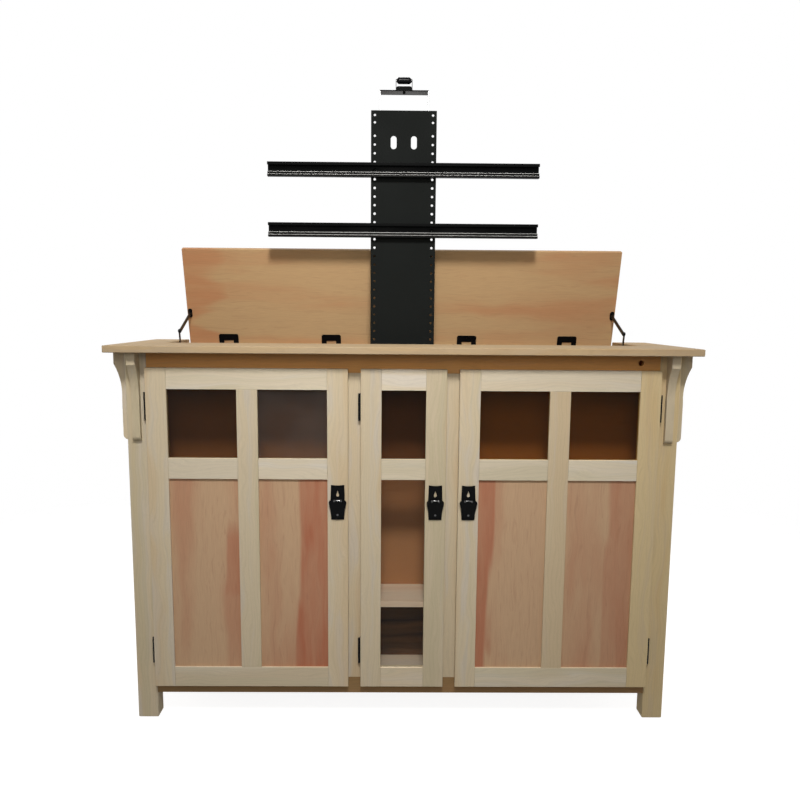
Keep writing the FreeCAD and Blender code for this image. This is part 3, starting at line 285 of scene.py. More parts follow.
class Shader:
    """A material under construction, with short ways to add its nodes."""

    def __init__(self, name):
        self.material = bpy.data.materials.new(name)
        self.material.use_nodes = True
        self.tree = self.material.node_tree
        self.surface = self.tree.nodes["Principled BSDF"]
        self.output = self.tree.nodes["Material Output"]

    def node(self, kind, inputs=None, **settings):
        made = self.tree.nodes.new("ShaderNode" + kind)
        for key, value in settings.items():
            setattr(made, key, value)
        for key, value in (inputs or {}).items():
            self.put(made.inputs[key], value)
        return made

    def put(self, socket, value):
        if isinstance(value, bpy.types.NodeSocket):
            self.tree.links.new(value, socket)
        else:
            socket.default_value = value

    def attribute(self, name):
        return self.node("Attribute", attribute_name=name).outputs["Vector"]

    def place(self):
        return self.node("TexCoord").outputs["Object"]

    def split(self, vector):
        return self.node("SeparateXYZ", {0: vector}).outputs

    def stretched(self, vector, factors):
        return self.node("VectorMath", {0: vector, 1: factors}, operation="MULTIPLY").outputs[0]

    def shifted(self, vector, other):
        return self.node("VectorMath", {0: vector, 1: other}, operation="ADD").outputs[0]

    def noise(self, vector, scale=1.0, detail=2.0, roughness=0.5):
        values = {"Vector": vector, "Scale": scale, "Detail": detail, "Roughness": roughness}
        return self.node("TexNoise", values).outputs["Fac"]

    def wandering(self, vector, factors, reach):
        """The vector, moved a little to and fro, so that lines along it aren't straight."""
        wander = self.node("TexNoise", {"Vector": self.stretched(vector, factors), "Detail": 1.0})
        wander = self.shifted(wander.outputs["Color"], (-0.5, -0.5, -0.5))
        return self.shifted(vector, self.stretched(wander, reach))

    def math(self, operation, first, second=0.0):
        return self.node("Math", {0: first, 1: second}, operation=operation).outputs[0]

    def ramp(self, value, low, high, bottom=0.0, top=1.0):
        """Goes smoothly from bottom to top while the value goes from low to high."""
        ends = {"From Min": low, "From Max": high, "To Min": bottom, "To Max": top}
        inputs = {"Value": value, **ends}
        return self.node("MapRange", inputs, interpolation_type="SMOOTHSTEP").outputs[0]

    def varied(self, value, chance, reach, low=0.0, high=1.0):
        """The value, moved by up to the reach either way while the chance goes from low to high."""
        return self.math("ADD", value, self.ramp(chance, low, high, -reach, reach))

    def mixed(self, share, first, second):
        """A share of the second colour over the first one."""
        return self.node("Mix", {0: share, 6: first, 7: second}, data_type="RGBA").outputs[2]

    def shaded(self, colour, value):
        """A colour multiplied by a value near 1."""
        return self.node("VectorMath", {0: colour, "Scale": value}, operation="SCALE").outputs[0]

    def bump(self, height, strength, distance):
        values = {"Height": height, "Strength": strength, "Distance": distance}
        return self.node("Bump", values).outputs[0]

    def finish(self, colour, roughness, normal=None, **constants):
        self.put(self.surface.inputs["Base Color"], colour)
        self.put(self.surface.inputs["Roughness"], roughness)
        if normal is not None:
            self.put(self.surface.inputs["Normal"], normal)
        for key, value in constants.items():
            self.surface.inputs[key.replace("_", " ")].default_value = value
        return self.material


# ---------------------------------------------------------------- wood
def solid_wood(name, pale, grey, streak, tan, streaky=1.0):
    """Unfinished, sanded hardwood: broad greenish and grey bands, a fine figure and fibres."""
    s = Shader(name)
    kind = s.split(s.attribute("board"))
    grain = s.wandering(s.attribute("grain"), (1.1, 4.0, 4.0), (0.0, 0.05, 0.05))
    bands = s.noise(s.stretched(grain, (0.55, 24.0, 24.0)), roughness=0.55)
    green = s.ramp(s.varied(bands, kind[0], 0.10), 0.52, 0.66, 0.0, 0.85 * streaky)
    greys = s.noise(s.stretched(grain, (0.7, 33.0, 33.0)), scale=1.3)
    greyed = s.ramp(s.varied(greys, kind[1], 0.08), 0.5, 0.7, 0.0, 0.8)
    warm = s.noise(s.stretched(grain, (0.4, 9.0, 9.0)), scale=1.7, detail=1.0)
    warmed = s.ramp(s.varied(warm, kind[2], 0.12), 0.5, 0.72, 0.0, 0.7)
    colour = s.mixed(greyed, screen(pale), screen(grey))
    colour = s.mixed(warmed, colour, screen(tan))
    colour = s.mixed(green, colour, screen(streak))
    figure = s.node("TexWave", {"Vector": s.stretched(grain, (0.16, 1.0, 0.35)), "Scale": 34.0,
                                "Distortion": 7.0, "Detail": 2.0, "Detail Scale": 1.2},
                    wave_type="BANDS", bands_direction="Y").outputs["Fac"]
    lines = s.ramp(figure, 0.55, 1.0, 1.0, 0.955)
    fibre = s.noise(s.stretched(grain, (9.0, 900.0, 900.0)), detail=3.0, roughness=0.6)
    pores = s.ramp(fibre, 0.3, 0.7, 0.955, 1.035)
    tone = s.math("MULTIPLY", lines, pores)
    tone = s.math("MULTIPLY", tone, s.ramp(kind[1], 0.0, 1.0, 0.95, 1.03))
    colour = s.shaded(colour, tone)
    normal = s.bump(fibre, 0.25, 0.0004)
    return s.finish(colour, s.ramp(fibre, 0.2, 0.8, 0.62, 0.8), normal, Specular_IOR_Level=0.3)


def sheet_wood(name, pale, red, dark, redness=0.5):
    """Thin plywood: straight fine streaks, soft red bands and the stored patch in the second
    colour, which is a red stain on the lid and door panels and painted shade on the partition.
    """
    s = Shader(name)
    grain = s.attribute("grain")
    kind = s.split(s.attribute("board"))
    patch = s.split(s.attribute("patch"))
    moved = s.wandering(grain, (1.6, 5.0, 5.0), (0.0, 0.03, 0.03))
    clouds = s.noise(s.stretched(moved, (1.3, 11.0, 11.0)))
    reds = s.ramp(s.varied(clouds, kind[0], 0.06), 0.45, 0.75, 0.0, redness)
    inside = s.ramp(s.varied(patch[0], clouds, 0.06, 0.3, 0.7), -0.01, 0.05)
    reach = s.ramp(s.math("ABSOLUTE", patch[1]), 0.5, 1.1, 1.0, 0.0)
    deep = s.ramp(s.noise(s.stretched(moved, (2.2, 30.0, 30.0))), 0.25, 0.7, 0.6, 1.0)
    strength = s.math("MULTIPLY", patch[2], deep)
    stain_and_painted_shade = s.math("MULTIPLY", s.math("MULTIPLY", inside, reach), strength)
    colour = s.mixed(s.math("MAXIMUM", reds, stain_and_painted_shade), screen(pale), screen(red))
    streaks = s.noise(s.stretched(moved, (2.2, 190.0, 190.0)), detail=3.0, roughness=0.6)
    colour = s.mixed(s.ramp(streaks, 0.5, 0.8, 0.0, 0.35), colour, screen(dark))
    fibre = s.noise(s.stretched(grain, (28.0, 1300.0, 1300.0)))
    colour = s.shaded(colour, s.ramp(fibre, 0.25, 0.75, 0.93, 1.05))
    return s.finish(colour, 0.72, s.bump(fibre, 0.2, 0.0003), Specular_IOR_Level=0.3)


POPLAR = solid_wood("poplar", (206, 190, 161), (201, 190, 174), (194, 181, 149), (202, 179, 144),
                    streaky=0.7)
POPLAR_GOLD = solid_wood("poplar_gold", (209, 187, 144), (203, 182, 147), (195, 175, 128),
                         (204, 174, 126), streaky=0.7)
POPLAR_PALE = solid_wood("poplar_pale", (215, 202, 178), (214, 205, 191), (202, 190, 160),
                         (206, 187, 156), streaky=0.6)
POPLAR_TAN = solid_wood("poplar_tan", (185, 160, 124), (179, 159, 131), (178, 152, 108),
                        (183, 150, 106), streaky=0.5)
# The rail under the top: its own tan, made oranger by painted warm bounce light in the top's shade.
RAIL_TAN_AND_BOUNCE = solid_wood("rail_tan_painted_bounce", (206, 152, 90), (198, 148, 94), (190, 144, 78), (200, 142, 80),
                      streaky=0.5)
# A paler wood for the upward ledges of the door rails: painted highlight.
LEDGE_HIGHLIGHT_WOOD = solid_wood("ledge_painted_highlight", (250, 234, 206), (246, 234, 212), (240, 224, 190),
                       (244, 222, 186), streaky=0.3)
# The rail under the doors is darkened: painted shade cast by the doors.
RAIL_PAINTED_SHADE = solid_wood("rail_painted_shade", (150, 118, 80), (142, 116, 84), (136, 110, 70), (144, 110, 70),
                       streaky=0.5)
LAUAN = sheet_wood("lauan", (192, 159, 126), (170, 104, 76), (150, 104, 80))
LID_WOOD = sheet_wood("lid_plywood", (188, 155, 113), (182, 122, 82), (160, 122, 86), redness=0.6)
INNER_WOOD = sheet_wood("inner_plywood", (182, 132, 92), (164, 110, 76), (134, 92, 62))
# The partition's second colour is the painted shade under the shelf.
PARTITION_WOOD = sheet_wood("partition_plywood", (184, 131, 89), (68, 53, 45), (140, 98, 66),
                            redness=0.0)
# The back panel: its own dark plywood, darkened further as painted shade of the cabinet's inside.
BACK_WOOD_SHADED = sheet_wood("back_plywood_painted_shade", (118, 74, 46), (112, 60, 36), (78, 48, 30))
SHELF_WOOD = solid_wood("shelf_wood", (254, 234, 213), (248, 232, 216), (242, 220, 190),
                        (248, 218, 192), streaky=0.3)


# ---------------------------------------------------------------- metal, plastic and glass
def coated(name, base, worn, roughness, grain, bump, metallic=0.0, wear=0.3, gloss=0.5):
    """Paint, powder coat, plastic or metal: a fine texture, soft cloudy wear and small scuffs."""
    s = Shader(name)
    place = s.place()
    clouds = s.noise(place, scale=9.0, detail=4.0, roughness=0.6)
    scuffs = s.noise(s.stretched(place, (1.0, 1.0, 6.0)), scale=110.0, detail=3.0, roughness=0.7)
    share = s.math("MULTIPLY", s.ramp(clouds, 0.45, 0.75), s.ramp(scuffs, 0.55, 0.8, 0.1, 1.0))
    colour = s.mixed(s.math("MULTIPLY", share, wear), screen(base), screen(worn))
    rough = s.varied(roughness, clouds, 0.06, 0.3, 0.7)
    normal = s.bump(s.noise(place, scale=grain), bump, 0.0003)
    return s.finish(colour, rough, normal, Metallic=metallic, Specular_IOR_Level=gloss)


BLACK_METAL = coated("black_hardware", (10, 10, 11), (26, 25, 25), 0.32, 900.0, 0.1, gloss=0.16)
POWDER = coated("black_powder_coat", (24, 26, 25), (34, 35, 33), 0.6, 1500.0, 0.35, gloss=0.03)
GLOSS_BLACK = coated("gloss_black", (5, 6, 6), (12, 12, 12), 0.4, 700.0, 0.08, gloss=0.03)
GREY_STEEL = coated("grey_steel", (112, 113, 112), (150, 146, 140), 0.45, 900.0, 0.2, metallic=0.7)
BRIGHT_STEEL = coated("bright_steel", (190, 190, 188), (150, 148, 144), 0.28, 600.0, 0.1,
                      metallic=1.0)
GREY_CAST = coated("grey_cast", (84, 85, 86), (120, 118, 114), 0.6, 420.0, 0.5)
BLACK_PLASTIC = coated("black_plastic", (26, 26, 27), (52, 52, 52), 0.5, 1100.0, 0.3)
BROWN_PLASTIC = coated("brown_plastic", (86, 58, 38), (120, 88, 62), 0.45, 900.0, 0.2)
WHITE_NYLON = coated("white_nylon", (226, 224, 214), (190, 186, 174), 0.4, 700.0, 0.15)
PLATE_UNDER = coated("plate_under", (58, 54, 50), (92, 84, 76), 0.5, 800.0, 0.2, wear=0.8,
                     gloss=0.2)
ZINC = coated("zinc_plate", (196, 197, 198), (170, 170, 170), 0.35, 800.0, 0.1, metallic=0.4)
SATIN_BLACK = coated("satin_black", (6, 6, 7), (16, 16, 16), 0.4, 900.0, 0.1, gloss=0.06)
POLISHED_BLACK = coated("polished_black", (8, 8, 9), (20, 20, 20), 0.16, 700.0, 0.03, gloss=1.0)
ROLLER_BLACK = coated("roller_black", (7, 8, 11), (18, 19, 23), 0.28, 700.0, 0.06, gloss=0.06)
# Painted glint on the rolled lip edges of the crossbars.
LIP_GLINT = coated("lip_painted_glint", (176, 176, 174), (120, 118, 115), 0.4, 900.0, 0.1, gloss=0.1)
# The crossbars' front lip faces: wear and a painted sheen, lighter than the gloss black.
BAR_LIP_WEAR_AND_SHEEN = coated("lip_wear_and_painted_sheen", (9, 9, 8), (36, 34, 32), 0.35, 500.0, 0.1, wear=0.8, gloss=0.05)
# The panes mirror less than real glass, as the photograph shows.
WINDOW_IOR = 1.14
DUST_WHITE = (0.9, 0.92, 0.95, 1.0)


def window_glass(name, tint):
    """Window glass, seen through as it is, with a faint smudge and the film of dust it stores."""
    s = Shader(name)
    film = s.split(s.attribute("patch"))[2]
    place = s.place()
    smudge = s.noise(place, scale=7.0, detail=3.0, roughness=0.6)
    clear = s.node("BsdfTransparent", {"Color": tint}).outputs[0]
    shine = s.node("BsdfGlossy", {"Color": (1.0, 1.0, 1.0, 1.0),
                                  "Roughness": s.ramp(smudge, 0.4, 0.8, 0.03, 0.16)}).outputs[0]
    edge = s.node("Fresnel", {"IOR": WINDOW_IOR}).outputs[0]
    mixed = s.node("MixShader", {0: edge, 1: clear, 2: shine}).outputs[0]
    dust = s.node("BsdfDiffuse", {"Color": DUST_WHITE}).outputs[0]
    thickness = s.math("MULTIPLY", film, s.ramp(smudge, 0.35, 0.65, 0.5, 1.0))
    mixed = s.node("MixShader", {0: thickness, 1: mixed, 2: dust}).outputs[0]
    s.tree.links.new(mixed, s.output.inputs["Surface"])
    s.tree.nodes.remove(s.surface)
    return s.material


PALE_GLASS = window_glass("pale_glass", (0.88, 0.88, 0.86, 1.0))
# The upper panes' tints are painted shade that darkens the cabinet's inside.
LEFT_SHADED_GLASS = window_glass("left_glass_painted_shade", (0.72, 0.67, 0.58, 1.0))
MIDDLE_SHADED_GLASS = window_glass("middle_glass_painted_shade", (0.66, 0.62, 0.57, 1.0))
RIGHT_SHADED_GLASS = window_glass("right_glass_painted_shade", (0.79, 0.71, 0.55, 1.0))


# ---------------------------------------------------------------- boards
# The easing of edges is given in millimetres.
GOLDEN_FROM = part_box("right_door_panels")[1].x - 20.0 * MM
SHELF_UNDER_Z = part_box("shelves")[0].z
MID_HEIGHT = 0.5
# How fast the partition's painted shade sets in below the shelf, and the lid's share and depth of
# red
SHADE_PER_METRE = 10.0
LID_STAIN_SHARE, LID_STAIN_STRENGTH = 0.07, 0.75


def dress(node, material, ease, patch=None):
    """Stands a node's solids in for it with eased edges, each board with a grain of its own.

    Both the material and the patch may be functions of the solid.
    """
    parts = []
    for index, solid in enumerate(solids_of(node)):
        eased(solid, ease * MM)
        chosen = material(solid) if callable(material) else material
        with_grain(solid, f"{node} {index}", patch=patch(solid) if patch else None)
        parts.append((solid, chosen))
    stand_in(node, parts)


def golden_right(solid):
    """The boards at the cabinet's right edge come from a yellower log."""
    return POPLAR_GOLD if extents(solid)[0].x > GOLDEN_FROM else POPLAR


def rails_with_painted_shade(solid):
    """The rail under the top is tan with painted warm bounce light, and the one under the doors is
    darker: painted shade cast by the doors.
    """
    return RAIL_TAN_AND_BOUNCE if extents(solid)[0].z > MID_HEIGHT else RAIL_PAINTED_SHADE


def ledge_with_painted_highlight(solid):
    """The upward faces of a door's rail are paler: a painted highlight where the light from above
    falls on the ledge.
    """
    return lambda face: LEDGE_HIGHLIGHT_WOOD if face.normal.z > 0.5 else POPLAR_PALE


def painted_shade_below_shelf(solid):
    """The partition's lowest part, under the shelf, is darkened: painted shade under the shelf."""
    return lambda point: Vector(((SHELF_UNDER_Z - point.z) * SHADE_PER_METRE, 0.0, 1.0))


def redder_left(solid):
    """The lid's sheet is redder along its left edge."""
    low, high = extents(solid)
    return lambda point: Vector((LID_STAIN_SHARE - (point.x - low.x) / (high.x - low.x), 0.0,
                                 LID_STAIN_STRENGTH))


for corbel_node in ("front_corbels", "side_corbels"):
    dress(corbel_node, POPLAR, ease=0.9)
for wood_node in ("front_legs", "rear_legs", "face_stiles", "side_frames", "back_rails",
                  "left_door_stiles", "centre_door_stiles", "right_door_stiles"):
    dress(wood_node, golden_right, ease=0.9)
for pale_node in ("left_door_rails", "centre_door_rails", "right_door_rails"):
    dress(pale_node, ledge_with_painted_highlight, ease=1.2)
dress("top_boards", POPLAR_TAN, ease=1.2)
for inner_node in ("lid_support_rails", "shelf_cleats", "bay_dividers"):
    dress(inner_node, INNER_WOOD, ease=0.6)
for shelf_node in ("shelves", "bottom_board"):
    dress(shelf_node, SHELF_WOOD, ease=0.8)
dress("partition_panel", PARTITION_WOOD, ease=0.5, patch=painted_shade_below_shelf)
dress("side_panels", LAUAN, ease=0.5)
dress("back_panel", BACK_WOOD_SHADED, ease=0.5)
dress("lid_panel", LID_WOOD, ease=1.2, patch=redder_left)
dress("face_rails", rails_with_painted_shade, ease=1.0)

# Where each door panel is reddest: the share of its width where the stain's border runs, the side
# of the border that is stained (1 is the right), and the stain's middle height, half reach and
# strength. The heights are shares of the panel's own.
STAINS = {
    ("left_door_panels", 0): (0.76, 1, 0.55, 0.24, 0.7),
    ("left_door_panels", 1): (0.52, 1, 0.45, 2.0, 1.0),
    ("right_door_panels", 0): (0.24, -1, 0.45, 2.0, 0.85),
    ("right_door_panels", 1): (0.56, 1, 0.5, 2.0, 0.6),
}


def dress_panels(node):
    """The plywood panels of an outer door, from left to right, each with its stain."""
    parts = []
    solids = sorted(solids_of(node), key=lambda solid: extents(solid)[0].x)
    for index, solid in enumerate(solids):
        low, high = extents(solid)
        border, side, middle, half, strength = STAINS[(node, index)]

        def stain(point, low=low, size=high - low):
            across = (point.x - low.x) / size.x
            height = (point.z - low.z) / size.z
            return Vector(((across - border) * side, (height - middle) / half, strength))

        eased(solid, 0.4 * MM)
        parts.append((with_grain(solid, f"{node} {index}", UPRIGHT, stain), LAUAN))
    stand_in(node, parts)


dress_panels("left_door_panels")
dress_panels("right_door_panels")

# ---------------------------------------------------------------- panes and plain hardware
# How much of the light the dust on a pane catches. Only the left door's two panes have some.
DUST = {("left_door_glass", 0): 0.003, ("left_door_glass", 1): 0.025}


def dress_panes(node, shading_glass):
    """The upper panes are darkened, a painted shade over the cabinet's dark inside, and the tall
    lower pane of the middle door is paler.
    """
    panes = sorted(solids_of(node), key=lambda pane: extents(pane)[0].x)
    highest = max(extents(pane)[0].z for pane in panes)
    parts = []
    for index, pane in enumerate(panes):
        film = (0.0, 0.0, DUST.get((node, index), 0.0))
        glass = shading_glass if extents(pane)[0].z == highest else PALE_GLASS
        eased(pane, 0.3 * MM)
        parts.append((with_grain(pane, node, patch=lambda point, film=film: film), glass))
    stand_in(node, parts)


def rounded_off(solid, flats, corners, segments=1):
    """The flats of round forms are rounded off first, then the corners."""
    eased(solid, flats * MM, 3, LEAST_TURN, FLATS_TURN)
    return eased(solid, corners * MM, segments, FLATS_TURN)


def rounded_metal(node, material, flats, corners):
    """Small metal parts of one material. Both roundings are in millimetres."""
    parts = [(rounded_off(solid, flats, corners), material) for solid in solids_of(node)]
    stand_in(node, parts, smooth=50.0)


dress_panes("left_door_glass", LEFT_SHADED_GLASS)
dress_panes("centre_door_glass", MIDDLE_SHADED_GLASS)
dress_panes("right_door_glass", RIGHT_SHADED_GLASS)

for black_node in ("lid_hinge_leaves", "lid_hinge_rail_leaves", "stay_cabinet_brackets",
                   "door_hinge_frame_leaves", "lid_stay_plates", "left_stay_upper_arm",
                   "left_stay_lower_arm", "right_stay_upper_arm", "right_stay_lower_arm",
                   "left_door_fittings", "centre_door_fittings", "right_door_fittings"):
    rounded_metal(black_node, BLACK_METAL, flats=0.9, corners=0.3)


# ---------------------------------------------------------------- drop pulls
# Where the CAD's forms begin and end, measured from the plate, the drop's lower end and its top
PLATE_THICKNESS, DROP_THICKNESS = 2.5 * MM, 3.4 * MM
EARS_START = 0.6 * MM
SHOULDER_HEIGHT = 6.0 * MM
BOSS_HEIGHT, BOSS_R, BOSS_DEPTH = 11.0 * MM, 6.0 * MM, 1.4 * MM
ARC_ABOVE_BOSS, ARC_R, ARC_THICKNESS, ARC_SIDES = 6.5 * MM, 11.0 * MM, 0.45 * MM, 8
ARC_START, ARC_END = 215, 345


def raised_arc(centre):
    """A thin raised arc on a face that looks along -Y."""
    form = bmesh.new()
    rings = []
    for x, z in arc_points((0.0, 0.0), 1.0, ARC_START, ARC_END, 20):
        spine = Vector((centre.x + ARC_R * x, centre.y, centre.z + ARC_R * z))
        outward = Vector((x, 0.0, z))
        rings.append([form.verts.new(spine + outward * (ARC_THICKNESS * a)
                                     + Vector((0, ARC_THICKNESS * b, 0)))
                      for a, b in arc_points((0.0, 0.0), 1.0, 0, 360, ARC_SIDES)[:-1]])
    for lower, upper in zip(rings, rings[1:]):
        for step in range(ARC_SIDES):
            after = (step + 1) % ARC_SIDES
            form.faces.new((lower[step], lower[after], upper[after], upper[step]))
    for ring in (rings[0], rings[-1]):
        form.faces.new(ring)
    return form


def dress_pull(side):
    """The plate's ears and the drop's shoulders and boss are polished. The rest is satin black."""
    plate, drop = f"{side}_pull_plate", f"{side}_pull_drop"
    plate_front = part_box(f"{side}_door_stiles")[0].y - PLATE_THICKNESS
    drop_low, drop_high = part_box(drop)
    shoulder_z = drop_high.z - SHOULDER_HEIGHT
    boss_z = drop_low.z + BOSS_HEIGHT

    def on_plate(face):
        is_ear = face.calc_center_median().y < plate_front - EARS_START
        return POLISHED_BLACK if is_ear else SATIN_BLACK

    def on_drop(face):
        middle = face.calc_center_median()
        is_boss = middle.y < drop_low.y + BOSS_DEPTH and middle.z < boss_z + BOSS_R
        is_shoulder = middle.z > shoulder_z and face.normal.z > 0.2
        return POLISHED_BLACK if is_boss or is_shoulder else SATIN_BLACK

    parts = [(rounded_off(solid, 1.0, 0.5, segments=2), on_plate) for solid in solids_of(plate)]
    stand_in(plate, parts, smooth=50.0)
    parts = [(rounded_off(solid, 0.8, 0.7, segments=3), on_drop) for solid in solids_of(drop)]
    arc_place = Vector(((drop_low.x + drop_high.x) / 2, drop_high.y - DROP_THICKNESS,
                        boss_z + ARC_ABOVE_BOSS))
    parts.append((raised_arc(arc_place), POLISHED_BLACK))
    stand_in(drop, parts, smooth=50.0)


for pull_side in ("left", "centre", "right"):
    dress_pull(pull_side)


# ---------------------------------------------------------------- mast
MAST_WALL, MAST_BEND = 3.0 * MM, 3.6 * MM
WIDEST_HOLE = 40.0 * MM
# The CAD's round holes have eight flats. A round one as wide as their mean is wider by this factor.
EIGHT_FLATS = 1.03


def holes_through(solid, low_y, high_y):
    """The extents of each hole in the sheet between two planes across Y."""
    solid.normal_update()
    walls = set()
    for face in solid.faces:
        ys = [vert.co.y for vert in face.verts]
        spans = abs(min(ys) - low_y) < SAME_PLACE and abs(max(ys) - high_y) < SAME_PLACE
        if spans and abs(face.normal.y) < 0.01:
            walls.add(face)
    holes = []
    while walls:
        group, waiting = [], [walls.pop()]
        while waiting:
            face = waiting.pop()
            group.append(face)
            for edge in face.edges:
                for other in edge.link_faces:
                    if other in walls:
                        walls.discard(other)
                        waiting.append(other)
        points = [vert.co for face in group for vert in face.verts]
        xs, zs = [point.x for point in points], [point.z for point in points]
        if max(xs) - min(xs) < WIDEST_HOLE:
            holes.append((min(xs), max(xs), min(zs), max(zs)))
    return sorted(holes)


def round_ended(hole, low_y, high_y, steps=16):
    """A prism along Y that fills a round hole or an upright slot, as wide as without the flats."""
    left, right, low, high = hole
    radius = (right - left) / 2 * EIGHT_FLATS
    middle = (left + right) / 2
    rise = max((high - low) / 2 * EIGHT_FLATS - radius, 0.0)
    centre = (low + high) / 2
    upper = arc_points((middle, centre + rise), radius, 0, 180, steps)
    lower = arc_points((middle, centre - rise), radius, 180, 360, steps)
    points = upper[:-1] + lower[:-1] if rise == 0.0 else upper + lower
    return slab([Vector((x, low_y, z)) for x, z in points], (0, 1, 0), high_y - low_y)


def dress_mast():
    """A sheet folded into a channel, with round bends, round holes and round-ended slots."""
    node = "mast_channel"
    solid = solids_of(node)[0]
    low, high = extents(solid)
    inner_y = low.y + MAST_WALL
    holes = holes_through(solid, low.y, inner_y)
    solid.free()
    bend, inner_bend = MAST_BEND, MAST_BEND - MAST_WALL
    outline = [(low.x, high.y)]
    outline += arc_points((low.x + bend, low.y + bend), bend, 180, 270, 6)
    outline += arc_points((high.x - bend, low.y + bend), bend, 270, 360, 6)
    outline += [(high.x, high.y), (high.x - MAST_WALL, high.y)]
    outline += arc_points((high.x - bend, low.y + bend), inner_bend, 360, 270, 4)
    outline += arc_points((low.x + bend, low.y + bend), inner_bend, 270, 180, 4)
    outline += [(low.x + MAST_WALL, high.y)]
    channel = slab([Vector((x, y, low.z)) for x, y in outline], (0, 0, 1), high.z - low.z)
    tools = [round_ended(hole, low.y - MM, inner_y + MM) for hole in holes]
    body = cut_away(channel, merged(tools))
    stand_in(node, [(body, POWDER)], smooth=30.0)


# ---------------------------------------------------------------- crossbars and bolts
# The rolled edges of a crossbar's lip, each with a thin pale bead as a painted glint: how far
# behind the front, how high, and the roll's radius
LIP_ROLLS = ((0.0, 7.0 * MM, 0.8 * MM), (6.0 * MM, 15.0 * MM, 1.0 * MM))
ROLL_END, ROLL_TAPER = 0.5 * MM, 0.4 * MM
LIP_HEIGHT, LIP_DEPTH = 15.6 * MM, 9.0 * MM
HEAD_R, HEAD_DEPTH, SOCKET_DEPTH, SHANK_R = 6.0 * MM, 4.0 * MM, 1.4 * MM, 3.6 * MM
NUT_R, NUT_DEPTH, NUT_EASE = 7.3 * MM, 6.5 * MM, 0.6 * MM


def dress_crossbars():
    """The two front edges of their lower lip are rolled and carry pale beads as painted glints; the
    lip's front faces are partly worn and partly painted sheen.
    """
    node = "crossbars"
    parts = []
    for solid in solids_of(node):
        low, high = extents(solid)
        eased(solid, 0.6 * MM)
        for back, rise, r in LIP_ROLLS:
            inset = 0.8 * r
            length = high.x - low.x - 2 * ROLL_END
            roll = [(0.0, 0.6 * r), (ROLL_TAPER, r), (length - ROLL_TAPER, r), (length, 0.6 * r)]
            start = (low.x + ROLL_END, low.y + back + inset, low.z + rise - inset)
            parts.append((turned(roll, start, (1, 0, 0), 12), LIP_GLINT))

        def finish(face, low=low):
            middle = face.calc_center_median()
            in_lip = middle.z < low.z + LIP_HEIGHT and middle.y < low.y + LIP_DEPTH
            # The lip's front faces take the worn colour with its painted sheen.
            return BAR_LIP_WEAR_AND_SHEEN if in_lip and face.normal.y < -0.2 else GLOSS_BLACK

        parts.append((solid, finish))
    stand_in(node, parts)


def dress_bolts():
    """Button heads with a round socket, plain shanks, and nuts behind the mast."""
    node = "lift_bolts"
    parts = []
    for solid in solids_of(node):
        low, high = extents(solid)
        solid.free()
        head = Vector(((low.x + high.x) / 2, low.y, (low.z + high.z) / 2))
        length, r = high.y - low.y, HEAD_R
        dome = [(SOCKET_DEPTH, 0.0), (SOCKET_DEPTH, 0.33 * r), (0.0, 0.36 * r), (0.1 * MM, 0.5 * r),
                (0.6 * MM, 0.72 * r), (1.5 * MM, 0.88 * r), (2.8 * MM, 0.97 * r), (HEAD_DEPTH, r),
                (HEAD_DEPTH, SHANK_R), (length - NUT_DEPTH, SHANK_R)]
        parts.append((turned(dome, head, (0, 1, 0), 24), GLOSS_BLACK))
        nut = [(length - NUT_DEPTH, 0.9 * NUT_R), (length - NUT_DEPTH + NUT_EASE, NUT_R),
               (length - NUT_EASE, NUT_R), (length, 0.9 * NUT_R)]
        parts.append((turned(nut, head, (0, 1, 0), 6), BRIGHT_STEEL))
    stand_in(node, parts, smooth=30.0)


# ---------------------------------------------------------------- lid pusher and roller
PUSHER_PLATE, PUSHER_LEG_DEPTH = 3.5 * MM, 13.0 * MM
AXLE_ABOVE_PLATE, AXLE_R, AXLE_EASE = 32.0 * MM, 2.5 * MM, 0.3 * MM
FORK_WIDTH, FORK_DEPTH, FORK_HEIGHT, FORK_CROWN = 50.0 * MM, 32.0 * MM, 13.0 * MM, 8.0 * MM
EAR_R, EAR_WALL, EAR_FOOT = 4.0 * MM, 1.7 * MM, 2.0 * MM
FORK_BOLT_R, FORK_BOLT_LENGTH, FORK_BOLT_BACK = 4.0 * MM, 7.0 * MM, 8.0 * MM


